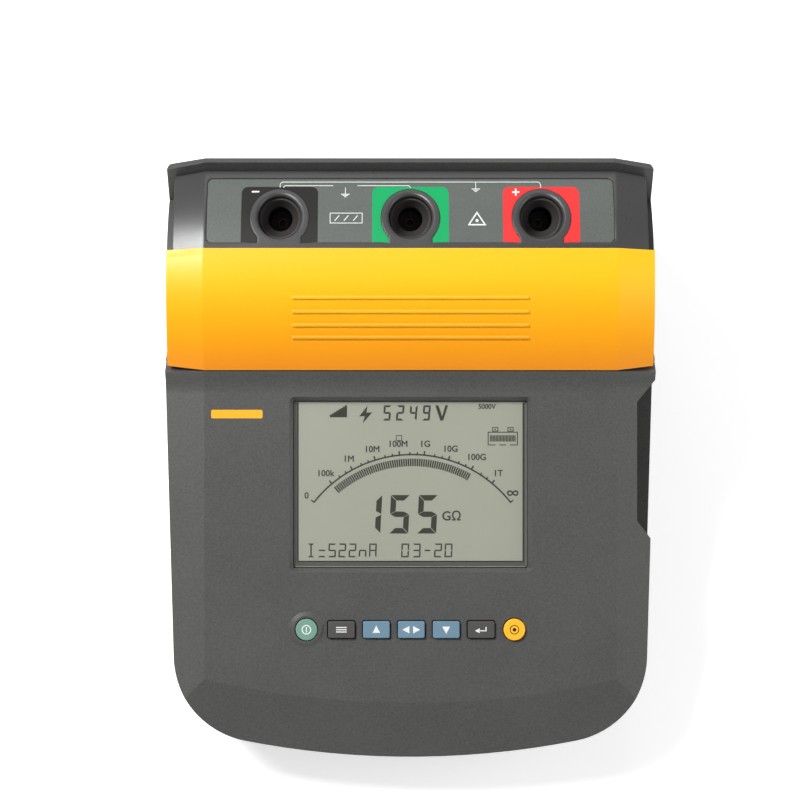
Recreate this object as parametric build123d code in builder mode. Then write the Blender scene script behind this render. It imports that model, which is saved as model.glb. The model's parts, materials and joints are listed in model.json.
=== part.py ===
from build123d import *
import os
from math import asin, cos, degrees, pi, radians, sin, tan

os.makedirs("parts", exist_ok=True)

# Insulation resistance tester, bench model with a sloping display.
# World: +X to the right, +Y to the rear, +Z up, origin on the table under the middle of the case.
# Case frame: x across, v up the sloping panel from its front edge, w out of the panel.

# Driving dimensions, mm and degrees
PANEL_TILT = 26.0
FOOT_HEIGHT = 3.0
FRONT_Y = -146.6
CASE_HALF_WIDTH = 120.4
WALL = 3.0
DRAFT = 1.0
REAR_LEAN = 4.0
SPLIT_W = 20.0
WALL_TOP_W = 45.0
PANEL_W = 50.5
CREASE_X = 101.0
BEVEL_SLOPE = 13.5
NOSE_CREASE_V = 27.0
NOSE_RADIUS = 450.0
NOSE_SLOPE = 11.5
NOSE_CORNER_V = 16.0
NOSE_CORNER_X = 115.3
NOSE_CORNER_RADIUS = 43.0
SHOULDER_V = 190.0
REAR_V = 295.2
REAR_CORNER_V = 292.5

DRUM_V = 233.0
DRUM_W = -19.2
DRUM_RADIUS = 85.0
DECK_RADIUS = 80.7
CHANNEL_RADIUS = 60.0
COVER_INNER_RADIUS = 81.2
DECK_HALF_WIDTH = 116.3
OPENING_HALF_WIDTH = 116.6
SHOULDER_ANGLE = -31.0
RIM_ANGLE = 44.45
COVER_START = -30.5
COVER_SPAN = 41.5

KEY_ROW_V = 63.0
KEY_WIDTH = 13.1
KEY_HEIGHT = 8.3
KEY_PITCH = 17.1
ROUND_KEY_X = 50.9
ROUND_KEY_DIAMETER = 10.6
KEY_GAP = 0.45
KEY_TOP_W = 52.3
KEY_TRAVEL = 1.2

WINDOW_V = 134.0
WINDOW_WIDTH = 118.6
WINDOW_HEIGHT = 85.8

SOCKET_PITCH = 64.0
SOCKET_V = 264.5
SOCKET_BORE = 12.0
SOCKET_MOUTH = 21.0

INLET_V = 145.0
INLET_W = 3.0
NOTCH_X = 111.2
NOTCH_V_LOW = 116.1
NOTCH_V_HIGH = 174.4
NOTCH_FLOOR_W = 30.0
POCKET_LOW_W = -14.0
POCKET_HIGH_W = 16.5
INFRARED_W = 38.5

# Planes of the case frame
tilt = radians(PANEL_TILT)
up_panel = Vector(0, cos(tilt), sin(tilt))
out_panel = Vector(0, -sin(tilt), cos(tilt))
corner = Vector(0, FRONT_Y, FOOT_HEIGHT)
panel = Plane(origin=corner, x_dir=(1, 0, 0), z_dir=out_panel)
side = Plane(origin=corner, x_dir=up_panel, z_dir=(1, 0, 0))
base = Plane.XY.offset(FOOT_HEIGHT)
drum_centre = corner + up_panel * DRUM_V + out_panel * DRUM_W
drum_axis = Axis(drum_centre, (-1, 0, 0))
bevel_fall = tan(radians(BEVEL_SLOPE))


def radial_plane(angle):
    """Plane through the drum's axis: x across the case, y outward, angle from the panel's normal."""
    turn = radians(angle - PANEL_TILT)
    return Plane(origin=drum_centre, x_dir=(1, 0, 0), z_dir=(0, -cos(turn), sin(turn)))


def drum_point(radius, angle):
    """Point of the side plane on the drum at this radius and angle."""
    turn = radians(angle)
    return (DRUM_V + radius * sin(turn), DRUM_W + radius * cos(turn))


def radial_at(angle, w):
    """v of the radial line at this angle where it passes height w."""
    return DRUM_V + (w - DRUM_W) * tan(radians(angle))


def drum_form(radius, start, stop, half_width, inner):
    """Body of revolution about the drum's axis, with its two flanks falling away beyond the creases."""
    edge = radius - (half_width - CREASE_X) * bevel_fall
    with BuildPart() as form:
        with BuildSketch(radial_plane(start)):
            with BuildLine():
                Polyline(
                    (-half_width, inner),
                    (-half_width, edge),
                    (-CREASE_X, radius),
                    (CREASE_X, radius),
                    (half_width, edge),
                    (half_width, inner),
                    close=True,
                )
            make_face()
        revolve(axis=drum_axis, revolution_arc=stop - start)
    return form.part


def drum_ring(inner, outer, start, stop, half_width):
    """Plain curved band about the drum's axis."""
    with BuildPart() as form:
        with BuildSketch(radial_plane(start)):
            with Locations((0, (inner + outer) / 2)):
                Rectangle(2 * half_width, outer - inner)
        revolve(axis=drum_axis, revolution_arc=stop - start)
    return form.part


def leaning_block(inset):
    """Block with the case's rear end, which leans forward on its way down, moved in by inset."""
    reach = 50
    lean = tan(radians(REAR_LEAN))
    rear_v = REAR_V - inset + reach * lean
    with BuildPart() as form:
        with BuildSketch(panel.offset(WALL_TOP_W + reach)):
            with BuildLine():
                Polyline(
                    (-CASE_HALF_WIDTH - 1, -60),
                    (CASE_HALF_WIDTH + 1, -60),
                    (CASE_HALF_WIDTH + 1, rear_v - REAR_V + REAR_CORNER_V),
                    (CREASE_X, rear_v),
                    (-CREASE_X, rear_v),
                    (-CASE_HALF_WIDTH - 1, rear_v - REAR_V + REAR_CORNER_V),
                    close=True,
                )
            make_face()
            rear = vertices().filter_by_position(Axis.Y, REAR_CORNER_V - 8, rear_v - 1)
            fillet(rear, radius=4)
        extrude(amount=WALL_TOP_W + reach + 160, dir=-out_panel - up_panel * lean)
    return form.part


def case_block(inset):
    """Drafted block inside the case's outline, moved in by inset."""
    with BuildPart() as form:
        with BuildSketch(panel.offset(WALL_TOP_W)):
            with BuildLine():
                ThreePointArc((-NOSE_CORNER_X, NOSE_CORNER_V), (0, 0), (NOSE_CORNER_X, NOSE_CORNER_V))
                Polyline(
                    (NOSE_CORNER_X, NOSE_CORNER_V),
                    (CASE_HALF_WIDTH, SHOULDER_V),
                    (CASE_HALF_WIDTH, REAR_CORNER_V),
                    (CREASE_X, REAR_V),
                    (-CREASE_X, REAR_V),
                    (-CASE_HALF_WIDTH, REAR_CORNER_V),
                    (-CASE_HALF_WIDTH, SHOULDER_V),
                    (-NOSE_CORNER_X, NOSE_CORNER_V),
                )
            make_face()
            corners = vertices().filter_by_position(Axis.Y, NOSE_CORNER_V - 1, NOSE_CORNER_V + 1)
            fillet(corners, radius=NOSE_CORNER_RADIUS)
            rear = vertices().filter_by_position(Axis.Y, REAR_CORNER_V - 0.5, REAR_CORNER_V + 0.5)
            fillet(rear, radius=4)
            if inset > 0:
                offset(amount=-inset, kind=Kind.INTERSECTION)
        extrude(amount=-WALL_TOP_W - 140, taper=DRAFT)
        extrude(faces().sort_by(Axis(corner, out_panel))[-1], amount=50)
        add(leaning_block(inset), mode=Mode.INTERSECT)
    return form.part


def front_form(depth):
    """Solid under the front face: panel, flanks, nose and ramp, sunk by depth below the skin."""
    top = PANEL_W - depth
    shoulder = drum_point(DRUM_RADIUS - depth, SHOULDER_ANGLE)
    back = depth * 1.2
    flank = Vector(cos(radians(BEVEL_SLOPE)), 0, 0) - out_panel * sin(radians(BEVEL_SLOPE))
    with BuildPart() as form:
        with BuildSketch(side.offset(-CREASE_X)):
            with BuildLine():
                Polyline((-12, -210), (-12, top), (179 - back, top))
                ThreePointArc(
                    (179 - back, top),
                    (185.3 - back, top + 1.05),
                    (shoulder[0] - back, shoulder[1]),
                )
                Polyline(
                    (shoulder[0] - back, shoulder[1]),
                    (DRUM_V - back, DRUM_W),
                    (DRUM_V - back, -210),
                    (-12, -210),
                )
            make_face()
        extrude(amount=2 * CREASE_X)
        right = form.faces().filter_by(Axis.X).sort_by(Axis.X)[-1]
        left = form.faces().filter_by(Axis.X).sort_by(Axis.X)[0]
        extrude(right, amount=32, dir=flank)
        extrude(left, amount=32, dir=Vector(-flank.X, flank.Y, flank.Z))
        nose_centre = corner + up_panel * (NOSE_CREASE_V + NOSE_RADIUS)
        with BuildSketch(Plane(origin=nose_centre, x_dir=up_panel, z_dir=(1, 0, 0))):
            with BuildLine():
                Polyline(
                    (NOSE_RADIUS, top),
                    (NOSE_RADIUS + 60, top - 60 * tan(radians(NOSE_SLOPE))),
                    (NOSE_RADIUS + 60, top + 30),
                    (NOSE_RADIUS, top + 30),
                    close=True,
                )
            make_face()
        revolve(axis=Axis(nose_centre, out_panel), mode=Mode.SUBTRACT)
    return form.part


def side_prism(points, half_width):
    """Prism across the case over a polygon of the side plane."""
    with BuildPart() as form:
        with BuildSketch(side):
            with BuildLine():
                Polyline(*points, close=True)
            make_face()
        extrude(amount=half_width, both=True)
    return form.part


def notch_form(grow, floor_w):
    """Notch in the panel's right edge for the infrared window, grown by grow into the case."""
    floor_x = NOTCH_X - grow
    lean = grow * 0.4
    with BuildPart() as form:
        with BuildSketch(panel.offset(floor_w)):
            with BuildLine():
                Polyline(
                    (floor_x + 30, NOTCH_V_LOW - 38 - lean),
                    (floor_x, NOTCH_V_LOW - lean),
                    (floor_x, NOTCH_V_HIGH + lean),
                    (floor_x + 30, NOTCH_V_HIGH + 36 + lean),
                    close=True,
                )
            make_face()
        extrude(amount=PANEL_W + 20 - floor_w)
    return form.part


def pocket_form(grow):
    """Recess in the right side for the mains inlet, grown by grow into the case."""
    with BuildPart() as form:
        floor_origin = corner + Vector(NOTCH_X - grow, 0, 0)
        with BuildSketch(Plane(origin=floor_origin, x_dir=up_panel, z_dir=(1, 0, 0))):
            with Locations((INLET_V, (POCKET_LOW_W + POCKET_HIGH_W) / 2)):
                RectangleRounded(56 + 2 * grow, POCKET_HIGH_W - POCKET_LOW_W + 2 * grow, 4 + grow)
        extrude(amount=30 + grow)
    return form.part


# ---- Whole outer form of the case, and the room inside its walls ----
with BuildPart() as case_form:
    add(front_form(0))
    add(drum_form(DRUM_RADIUS, SHOULDER_ANGLE, 100, 132, 2))
    rear_low = [(DRUM_V - 8, DRUM_W + 8), (320, DRUM_W + 8), (320, -210), (DRUM_V - 8, -210)]
    add(side_prism(rear_low, 130))
    seam = [drum_point(72, -36), drum_point(72, -26), (DRUM_V + 4, DRUM_W), (DRUM_V - 12, DRUM_W)]
    add(side_prism(seam, 130))
    add(case_block(0), mode=Mode.INTERSECT)
    split(bisect_by=base, keep=Keep.TOP)
    add(notch_form(0, NOTCH_FLOOR_W), mode=Mode.SUBTRACT)
    add(pocket_form(0), mode=Mode.SUBTRACT)

with BuildPart() as case_room:
    add(front_form(WALL))
    add(side_prism([(DRUM_V - 4.6, 19.8), (320, 19.8), (320, -210), (DRUM_V - 4.6, -210)], 130))
    add(side_prism([(195, 19.8), (DRUM_V, 19.8), (DRUM_V, -60), (195, -60)], 130))
    add(case_block(WALL), mode=Mode.INTERSECT)
    split(bisect_by=base.offset(WALL), keep=Keep.TOP)
    add(notch_form(WALL, NOTCH_FLOOR_W - WALL), mode=Mode.SUBTRACT)
    add(pocket_form(WALL), mode=Mode.SUBTRACT)

# ---- Bottom case: deep wedge-shaped tub with screw tunnels, battery well and inlet cut-out ----
TUNNEL_SPOTS = [(98, 42), (-98, 42), (99, 235), (-99, 235)]
BOARD_Z = 14.0
BATTERY_Y = 92.0
BATTERY_SIZE = (134.0, 67.0, 60.0)
DOOR_SIZE = (146.0, 78.0)
DOOR_THICKNESS = 2.6
FOOT_SPOTS = [(-76, -110), (76, -110), (-90, 144), (90, 144)]
DOOR_SCREW_SPOTS = [(x, BATTERY_Y + y) for x in (-70.4, 70.4) for y in (-22, 22)]
BRACKET_SCREW_SPOTS = [(x, BATTERY_Y + y) for x in (-82, 82) for y in (-12, 12)]
MAIN_BOARD_Y = -28.0
MAIN_BOARD_SIZE = (176.0, 128.0)

with BuildPart() as bottom_case:
    add(case_form.part)
    split(bisect_by=panel.offset(SPLIT_W - 0.3), keep=Keep.BOTTOM)
    add(case_room.part, mode=Mode.SUBTRACT)
    with BuildSketch(panel.offset(SPLIT_W - 0.3)):
        with Locations(*TUNNEL_SPOTS):
            Circle(5.5)
    extrude(amount=-170)
    # rails that hold the battery, and posts for the main board
    with BuildSketch(base.offset(WALL - 0.5)):
        with Locations((0, BATTERY_Y)):
            with GridLocations(1, BATTERY_SIZE[1] + 3.2, 1, 2):
                Rectangle(BATTERY_SIZE[0] + 6, 2)
            with GridLocations(BATTERY_SIZE[0] + 3.2, 1, 2, 1):
                Rectangle(2, BATTERY_SIZE[1] + 5.2)
    extrude(amount=16)
    with BuildSketch(base.offset(WALL - 0.5)):
        with Locations((0, MAIN_BOARD_Y)):
            with GridLocations(MAIN_BOARD_SIZE[0] - 12, MAIN_BOARD_SIZE[1] - 12, 2, 2):
                Circle(3.5)
    extrude(amount=BOARD_Z - FOOT_HEIGHT - WALL + 0.5)
    # everything under the base plane is cut level
    split(bisect_by=base, keep=Keep.TOP)
    with BuildSketch(panel.offset(SPLIT_W - 12)):
        with Locations(*TUNNEL_SPOTS):
            Circle(3.9)
    extrude(amount=-190, mode=Mode.SUBTRACT)
    with BuildSketch(panel.offset(SPLIT_W)):
        with Locations(*TUNNEL_SPOTS):
            Circle(2.1)
    extrude(amount=-14, mode=Mode.SUBTRACT)
    with BuildSketch(base.offset(20)):
        with Locations((0, MAIN_BOARD_Y)):
            with GridLocations(MAIN_BOARD_SIZE[0] - 12, MAIN_BOARD_SIZE[1] - 12, 2, 2):
                Circle(1.25)
    extrude(amount=-18.5, mode=Mode.SUBTRACT)
    # battery hatch in the floor, with a step that the door sits on
    with BuildSketch(base):
        with Locations((0, BATTERY_Y)):
            Rectangle(BATTERY_SIZE[0] + 1.2, BATTERY_SIZE[1] + 1.2)
    extrude(amount=WALL + 1, mode=Mode.SUBTRACT)
    with BuildSketch(base):
        with Locations((0, BATTERY_Y)):
            Rectangle(DOOR_SIZE[0] + 0.6, DOOR_SIZE[1] + 0.6)
    extrude(amount=DOOR_THICKNESS / 2 + 0.1, mode=Mode.SUBTRACT)
    with BuildSketch(base):
        with Locations(*DOOR_SCREW_SPOTS):
            Circle(1.6)
    extrude(amount=WALL + 1, mode=Mode.SUBTRACT)
    with BuildSketch(base.offset(0.8)):
        with Locations(*BRACKET_SCREW_SPOTS):
            Circle(1.5)
    extrude(amount=WALL, mode=Mode.SUBTRACT)
    # pockets for the feet
    with BuildSketch(base):
        with Locations(*FOOT_SPOTS):
            Circle(8.2)
    extrude(amount=1.0, mode=Mode.SUBTRACT)
    # cut-out for the mains inlet in the floor of the side pocket
    with BuildSketch(Plane(origin=corner + Vector(NOTCH_X + 4, 0, 0), x_dir=up_panel, z_dir=(1, 0, 0))):
        with Locations((INLET_V, INLET_W)):
            Rectangle(27.8, 20.0)
            with GridLocations(40, 1, 2, 1):
                Circle(1.6)
    extrude(amount=-20, mode=Mode.SUBTRACT)
bottom_case.part.label = "bottom_case"
export_step(bottom_case.part, "parts/bottom_case.step")

# ---- Top case: front shell with the panel, the side walls and the rear rim ----
POST_SPOTS = [(-66, 52), (66, 52), (-66, 115), (66, 115), (-66, 178), (66, 178)]
DECK_SCREW_SPOTS = [(88, 213), (-88, 213), (88, 262), (-88, 262)]
RECT_KEYS_X = [KEY_PITCH * (n - 2) + 0.4 for n in range(5)]

with BuildPart() as top_case:
    add(case_form.part)
    split(bisect_by=panel.offset(SPLIT_W + 0.3), keep=Keep.TOP)
    add(case_room.part, mode=Mode.SUBTRACT)
    # channel that the cover's edges run in, and the opening that the deck fills
    add(drum_ring(CHANNEL_RADIUS, 100, SHOULDER_ANGLE, RIM_ANGLE, 140), mode=Mode.SUBTRACT)
    front_edge = drum_point(CHANNEL_RADIUS + 2, SHOULDER_ANGLE)
    rear_edge = drum_point(CHANNEL_RADIUS + 2, RIM_ANGLE)
    with BuildSketch(side):
        with BuildLine():
            Polyline(
                front_edge,
                (radial_at(SHOULDER_ANGLE, 18), 18),
                (rear_edge[0], 18),
                rear_edge,
                drum_point(CHANNEL_RADIUS + 15, (SHOULDER_ANGLE + RIM_ANGLE) / 2),
                close=True,
            )
        make_face()
    extrude(amount=OPENING_HALF_WIDTH, both=True, mode=Mode.SUBTRACT)
    # the rear wall is hollow from below
    with BuildSketch(side):
        with BuildLine():
            Polyline((279.8, 18), (290.1, 18), (291.0, 33), (288.2, 33), (280.0, 25.5), close=True)
        make_face()
    extrude(amount=112, both=True, mode=Mode.SUBTRACT)
    # corner ledges under the deck's feet, lugs over the rear screw tunnels
    with BuildSketch(panel.offset(SPLIT_W + 0.3)):
        with Locations((99, 213.5), (-99, 213.5), (99, 267.5), (-99, 267.5)):
            Rectangle(37, 19)
    extrude(amount=2.7)
    with BuildSketch(panel.offset(SPLIT_W + 0.3)):
        with Locations((105, 236), (-105, 236)):
            Rectangle(24, 16)
    extrude(amount=2.7)
    with BuildSketch(panel.offset(SPLIT_W + 0.3)):
        with Locations((99, 235), (-99, 235)):
            Circle(5.5)
    extrude(amount=8)
    # screw bosses and display board posts
    with BuildSketch(panel.offset(SPLIT_W + 0.3)):
        with Locations((98, 42), (-98, 42)):
            Circle(5.5)
    extrude(amount=PANEL_W - SPLIT_W - 2)
    with BuildSketch(panel.offset(36.5)):
        with Locations(*POST_SPOTS):
            Circle(3)
    extrude(amount=PANEL_W - 38)
    with BuildSketch(panel.offset(SPLIT_W)):
        with Locations(*TUNNEL_SPOTS):
            Circle(1.95)
    extrude(amount=7.5, mode=Mode.SUBTRACT)
    with BuildSketch(panel.offset(SPLIT_W)):
        with Locations(*DECK_SCREW_SPOTS):
            Circle(1.7)
    extrude(amount=4, mode=Mode.SUBTRACT)
    with BuildSketch(panel.offset(36)):
        with Locations(*POST_SPOTS):
            Circle(1.3)
    extrude(amount=8.5, mode=Mode.SUBTRACT)
    # display window with bevelled sides
    with BuildSketch(panel.offset(PANEL_W)):
        with Locations((0, WINDOW_V)):
            RectangleRounded(WINDOW_WIDTH, WINDOW_HEIGHT, 2.5)
    extrude(amount=-WALL - 0.2, taper=32, mode=Mode.SUBTRACT)
    # raised collar round the power key, then the key holes
    collar_centre = corner + Vector(-ROUND_KEY_X, 0, 0) + up_panel * KEY_ROW_V
    with BuildSketch(Plane(origin=collar_centre, x_dir=(1, 0, 0), z_dir=-up_panel)):
        with BuildLine():
            Polyline(
                (4, PANEL_W - 1),
                (8.6, PANEL_W - 1),
                (8.6, PANEL_W),
                (6.9, PANEL_W + 1.1),
                (4, PANEL_W + 1.1),
                close=True,
            )
        make_face()
    revolve(axis=Axis(collar_centre, out_panel))
    with BuildSketch(panel.offset(PANEL_W + 5)):
        with Locations((-ROUND_KEY_X, KEY_ROW_V), (ROUND_KEY_X, KEY_ROW_V)):
            Circle(ROUND_KEY_DIAMETER / 2 + KEY_GAP)
        with Locations(*[(x, KEY_ROW_V) for x in RECT_KEYS_X]):
            RectangleRounded(KEY_WIDTH + 2 * KEY_GAP, KEY_HEIGHT + 2 * KEY_GAP, 1.2)
    extrude(amount=-15, mode=Mode.SUBTRACT)
    # hole for the infrared window in the wall of the notch
    with BuildSketch(Plane(origin=corner + Vector(NOTCH_X + 4, 0, 0), x_dir=up_panel, z_dir=(1, 0, 0))):
        with Locations((INLET_V, INFRARED_W)):
            RectangleRounded(16, 8, 2)
    extrude(amount=-12, mode=Mode.SUBTRACT)
top_case.part.label = "top_case"
export_step(top_case.part, "parts/top_case.step")

# ---- Terminal deck: curved roof over the sockets, with cheeks, end walls and socket collars ----
SOCKETS_X = [-SOCKET_PITCH, 0, SOCKET_PITCH]
DECK_START = -30.7
DECK_END = 43.9
SLOT_RADIUS = 69.0
COLLAR_W = 38.0
deck_form = drum_form(DECK_RADIUS, DECK_START, DECK_END, DECK_HALF_WIDTH, 2)
drum_side = Plane(origin=drum_centre, x_dir=up_panel, z_dir=(1, 0, 0))
sockets = [(x, SOCKET_V) for x in SOCKETS_X]


def label_form(grow, low, high):
    """Curved label, cut round each socket and open towards the cover, grown by grow all round."""
    with BuildPart() as form:
        with BuildSketch(panel.offset(36)):
            with Locations((0, 268.2)):
                RectangleRounded(199 + 2 * grow, 32.2 + 2 * grow, 2.6)
            with Locations(*sockets):
                Circle(14.6 - grow, mode=Mode.SUBTRACT)
            with Locations(*[(x, 254) for x in SOCKETS_X]):
                Rectangle(21.5 - 2 * grow, 10, mode=Mode.SUBTRACT)
        extrude(amount=40)
        add(drum_ring(low, high, DECK_START, DECK_END, 110), mode=Mode.INTERSECT)
    return form.part


with BuildPart() as terminal_deck:
    add(deck_form)
    deck_room = drum_form(DECK_RADIUS - 3, DECK_START + 2.5, DECK_END - 2.3, DECK_HALF_WIDTH - 3, 1)
    add(deck_room, mode=Mode.SUBTRACT)
    with BuildSketch(panel.offset(COLLAR_W)):
        with Locations(*sockets):
            Circle(13.4)
    extrude(amount=40)
    with BuildSketch(panel.offset(23)):
        with Locations(*DECK_SCREW_SPOTS):
            Circle(4)
    extrude(amount=50)
    add(deck_form, mode=Mode.INTERSECT)
    with BuildSketch(panel.offset(23)):
        with Locations((0, DRUM_V)):
            Rectangle(300, 200)
    extrude(amount=-60, mode=Mode.SUBTRACT)
    with BuildSketch(panel.offset(30)):
        with Locations(*sockets):
            Circle(SOCKET_MOUTH / 2)
    extrude(amount=50, mode=Mode.SUBTRACT)
    # the rear wall makes room for the socket bodies
    with BuildSketch(panel.offset(COLLAR_W)):
        with Locations(*sockets):
            Circle(13.3)
    extrude(amount=-3.4, mode=Mode.SUBTRACT)
    with BuildSketch(panel.offset(COLLAR_W)):
        with Locations(*sockets):
            Circle(9.2)
    extrude(amount=-20, mode=Mode.SUBTRACT)
    with BuildSketch(panel.offset(22)):
        with Locations(*DECK_SCREW_SPOTS):
            Circle(1.5)
    extrude(amount=12, mode=Mode.SUBTRACT)
    # arc slots that the cover's pins run in
    for hand in (-1, 1):
        with BuildSketch(drum_side.offset(hand * 130)):
            with BuildLine(mode=Mode.PRIVATE) as slot_line:
                CenterArc((0, 0), SLOT_RADIUS, 90 - 38.5, 65.5)
            SlotArc(slot_line.edges()[0], 4.8)
        extrude(amount=-hand * 18, mode=Mode.SUBTRACT)
    add(label_form(0.15, DECK_RADIUS - 0.9, DECK_RADIUS + 5), mode=Mode.SUBTRACT)
    # rounded rear edges and socket mouths
    deck_end_v = drum_point(DECK_RADIUS, DECK_END)[0]
    rear_edges = edges().filter_by(GeomType.LINE)
    rear_edges = rear_edges.filter_by_position(Axis(corner, up_panel), deck_end_v - 2, deck_end_v + 1)
    fillet(rear_edges, radius=1.5)
    mouth_length = pi * SOCKET_MOUTH
    closed_edges = [edge for edge in edges() if edge.is_closed]
    fillet([edge for edge in closed_edges if 1 < edge.length - mouth_length < 5], radius=1.6)
terminal_deck.part.label = "terminal_deck"
export_step(terminal_deck.part, "parts/terminal_deck.step")

with BuildPart() as terminal_label:
    add(label_form(0, DECK_RADIUS - 0.9, DECK_RADIUS - 0.4))
terminal_label.part.label = "terminal_label"
export_step(terminal_label.part, "parts/terminal_label.step")

# ---- Terminal cover: curved lid that turns about the drum's axis, with cheeks and grip ribs ----
PIN_ANGLES = [-22.0, 4.0]
COVER_HALF_WIDTH = 119.0
CHEEK_X = 116.9
PIN_END_X = 118.1
COVER_OUTER_RADIUS = 84.8
RIB_V = [225.0, 218.2, 211.7, 205.8]
cover_stop = COVER_START + COVER_SPAN

with BuildPart() as terminal_cover:
    add(drum_form(COVER_OUTER_RADIUS, COVER_START, cover_stop, COVER_HALF_WIDTH, CHANNEL_RADIUS + 1.2))
    add(drum_form(COVER_INNER_RADIUS, COVER_START - 2, cover_stop + 2, CHEEK_X, 30), mode=Mode.SUBTRACT)
    for rib_v in RIB_V:
        rib_angle = degrees(asin((rib_v - DRUM_V) / DRUM_RADIUS))
        rib_low = COVER_OUTER_RADIUS - 0.6
        rib_high = COVER_OUTER_RADIUS + 0.8
        add(drum_ring(rib_low, rib_high, rib_angle - 0.4, rib_angle + 0.4, 57.5))
    for angle in PIN_ANGLES:
        spot = (SLOT_RADIUS * sin(radians(angle)), SLOT_RADIUS * cos(radians(angle)))
        with BuildSketch(drum_side.offset(-PIN_END_X)):
            with Locations(spot):
                Circle(1.8)
        extrude(amount=2 * PIN_END_X, mode=Mode.SUBTRACT)
terminal_cover.part.label = "terminal_cover"
export_step(terminal_cover.part, "parts/terminal_cover.step")

with BuildPart() as cover_guide_pins:
    for angle in PIN_ANGLES:
        spot = (SLOT_RADIUS * sin(radians(angle)), SLOT_RADIUS * cos(radians(angle)))
        for hand in (-1, 1):
            with BuildSketch(drum_side.offset(hand * PIN_END_X)):
                with Locations(spot):
                    Circle(1.8)
            extrude(amount=-hand * 6.4)
            with BuildSketch(drum_side.offset(hand * 112.5)):
                with Locations(spot):
                    Circle(3.3)
            extrude(amount=-hand * 1.8)
cover_guide_pins.part.label = "cover_guide_pins"
export_step(cover_guide_pins.part, "parts/cover_guide_pins.step")

# ---- Case seal: rubber cord squeezed between the two shells ----
with BuildPart() as case_seal:
    add(case_block(0.9))
    add(case_block(2.1), mode=Mode.SUBTRACT)
    split(bisect_by=panel.offset(SPLIT_W + 0.3), keep=Keep.BOTTOM)
    split(bisect_by=panel.offset(SPLIT_W - 0.3), keep=Keep.TOP)
case_seal.part.label = "case_seal"
export_step(case_seal.part, "parts/case_seal.step")

# ---- Sockets: deep insulating cups, each with a brass contact and its nut ----
SOCKET_NAMES = ["negative", "guard", "positive"]
SOCKET_TOP_W = 46.0
SOCKET_FLOOR_W = 8.0
SOCKET_END_W = 2.0
for socket_name, socket_x in zip(SOCKET_NAMES, SOCKETS_X):
    centre = corner + Vector(socket_x, 0, 0) + up_panel * SOCKET_V
    with BuildPart() as socket:
        with BuildSketch(Plane(origin=centre, x_dir=(1, 0, 0), z_dir=-up_panel)):
            with BuildLine():
                Polyline(
                    (2.5, SOCKET_END_W),
                    (8.6, SOCKET_END_W),
                    (8.6, COLLAR_W - 3),
                    (13, COLLAR_W - 3),
                    (13, COLLAR_W),
                    (10.3, COLLAR_W),
                    (10.3, SOCKET_TOP_W),
                    (9.2, SOCKET_TOP_W),
                    (SOCKET_BORE / 2, 41),
                    (SOCKET_BORE / 2, SOCKET_FLOOR_W),
                    (2.5, SOCKET_FLOOR_W),
                    close=True,
                )
            make_face()
        revolve(axis=Axis(centre, out_panel))
    socket.part.label = "socket_" + socket_name
    export_step(socket.part, "parts/socket_" + socket_name + ".step")

    with BuildPart() as contact:
        with BuildSketch(panel.offset(SOCKET_FLOOR_W)):
            with Locations((socket_x, SOCKET_V)):
                Circle(2.5)
        extrude(amount=-SOCKET_FLOOR_W - 8)
        with BuildSketch(panel.offset(SOCKET_FLOOR_W)):
            with Locations((socket_x, SOCKET_V)):
                Circle(1.5)
        extrude(amount=-11, mode=Mode.SUBTRACT)
    contact.part.label = "contact_" + socket_name
    export_step(contact.part, "parts/contact_" + socket_name + ".step")

with BuildPart() as contact_nuts:
    with BuildSketch(panel.offset(SOCKET_END_W)):
        with Locations(*sockets):
            RegularPolygon(4.6, 6)
            Circle(2.5, mode=Mode.SUBTRACT)
    extrude(amount=-3)
contact_nuts.part.label = "contact_nuts"
export_step(contact_nuts.part, "parts/contact_nuts.step")

# ---- Display: window, glass panel, backlight, holder and its board ----
BOARD_W = 36.5
BOARD_THICKNESS = 1.6


def panel_plate(name, width, height, v, low, high, corner_radius):
    """Rounded plate parallel to the panel, centred across the case, between two heights."""
    with BuildPart() as plate:
        with BuildSketch(panel.offset(low)):
            with Locations((0, v)):
                RectangleRounded(width, height, corner_radius)
        extrude(amount=high - low)
    plate.part.label = name
    export_step(plate.part, "parts/" + name + ".step")


panel_plate("lcd_window", 117.6, 84.4, WINDOW_V, 46.0, PANEL_W - WALL, 2.0)
panel_plate("lcd_panel", 114.0, 81.0, WINDOW_V, 43.0, 45.9, 0.6)
panel_plate("backlight", 114.0, 81.0, WINDOW_V, 38.6, 42.9, 0.6)

with BuildPart() as lcd_frame:
    with BuildSketch(panel.offset(BOARD_W)):
        with Locations((0, WINDOW_V)):
            RectangleRounded(120.6, 87.6, 2)
            Rectangle(114.2, 81.2, mode=Mode.SUBTRACT)
    extrude(amount=46.0 - BOARD_W)
    with BuildSketch(panel.offset(BOARD_W)):
        with Locations((0, WINDOW_V)):
            Rectangle(114.6, 81.6)
            Rectangle(102, 68, mode=Mode.SUBTRACT)
    extrude(amount=2)
lcd_frame.part.label = "lcd_frame"
export_step(lcd_frame.part, "parts/lcd_frame.step")

with BuildPart() as display_board:
    with BuildSketch(panel.offset(BOARD_W)):
        with Locations((0, 115)):
            RectangleRounded(142, 140, 3)
        with Locations(*POST_SPOTS):
            Circle(1.35, mode=Mode.SUBTRACT)
    extrude(amount=-BOARD_THICKNESS)
display_board.part.label = "display_board"
export_step(display_board.part, "parts/display_board.step")

with BuildPart() as display_board_screws:
    with BuildSketch(panel.offset(BOARD_W - BOARD_THICKNESS)):
        with Locations(*POST_SPOTS):
            Circle(2.8)
    extrude(amount=-1.6)
    with BuildSketch(panel.offset(BOARD_W - BOARD_THICKNESS)):
        with Locations(*POST_SPOTS):
            Circle(1.25)
    extrude(amount=8)
display_board_screws.part.label = "display_board_screws"
export_step(display_board_screws.part, "parts/display_board_screws.step")

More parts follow.
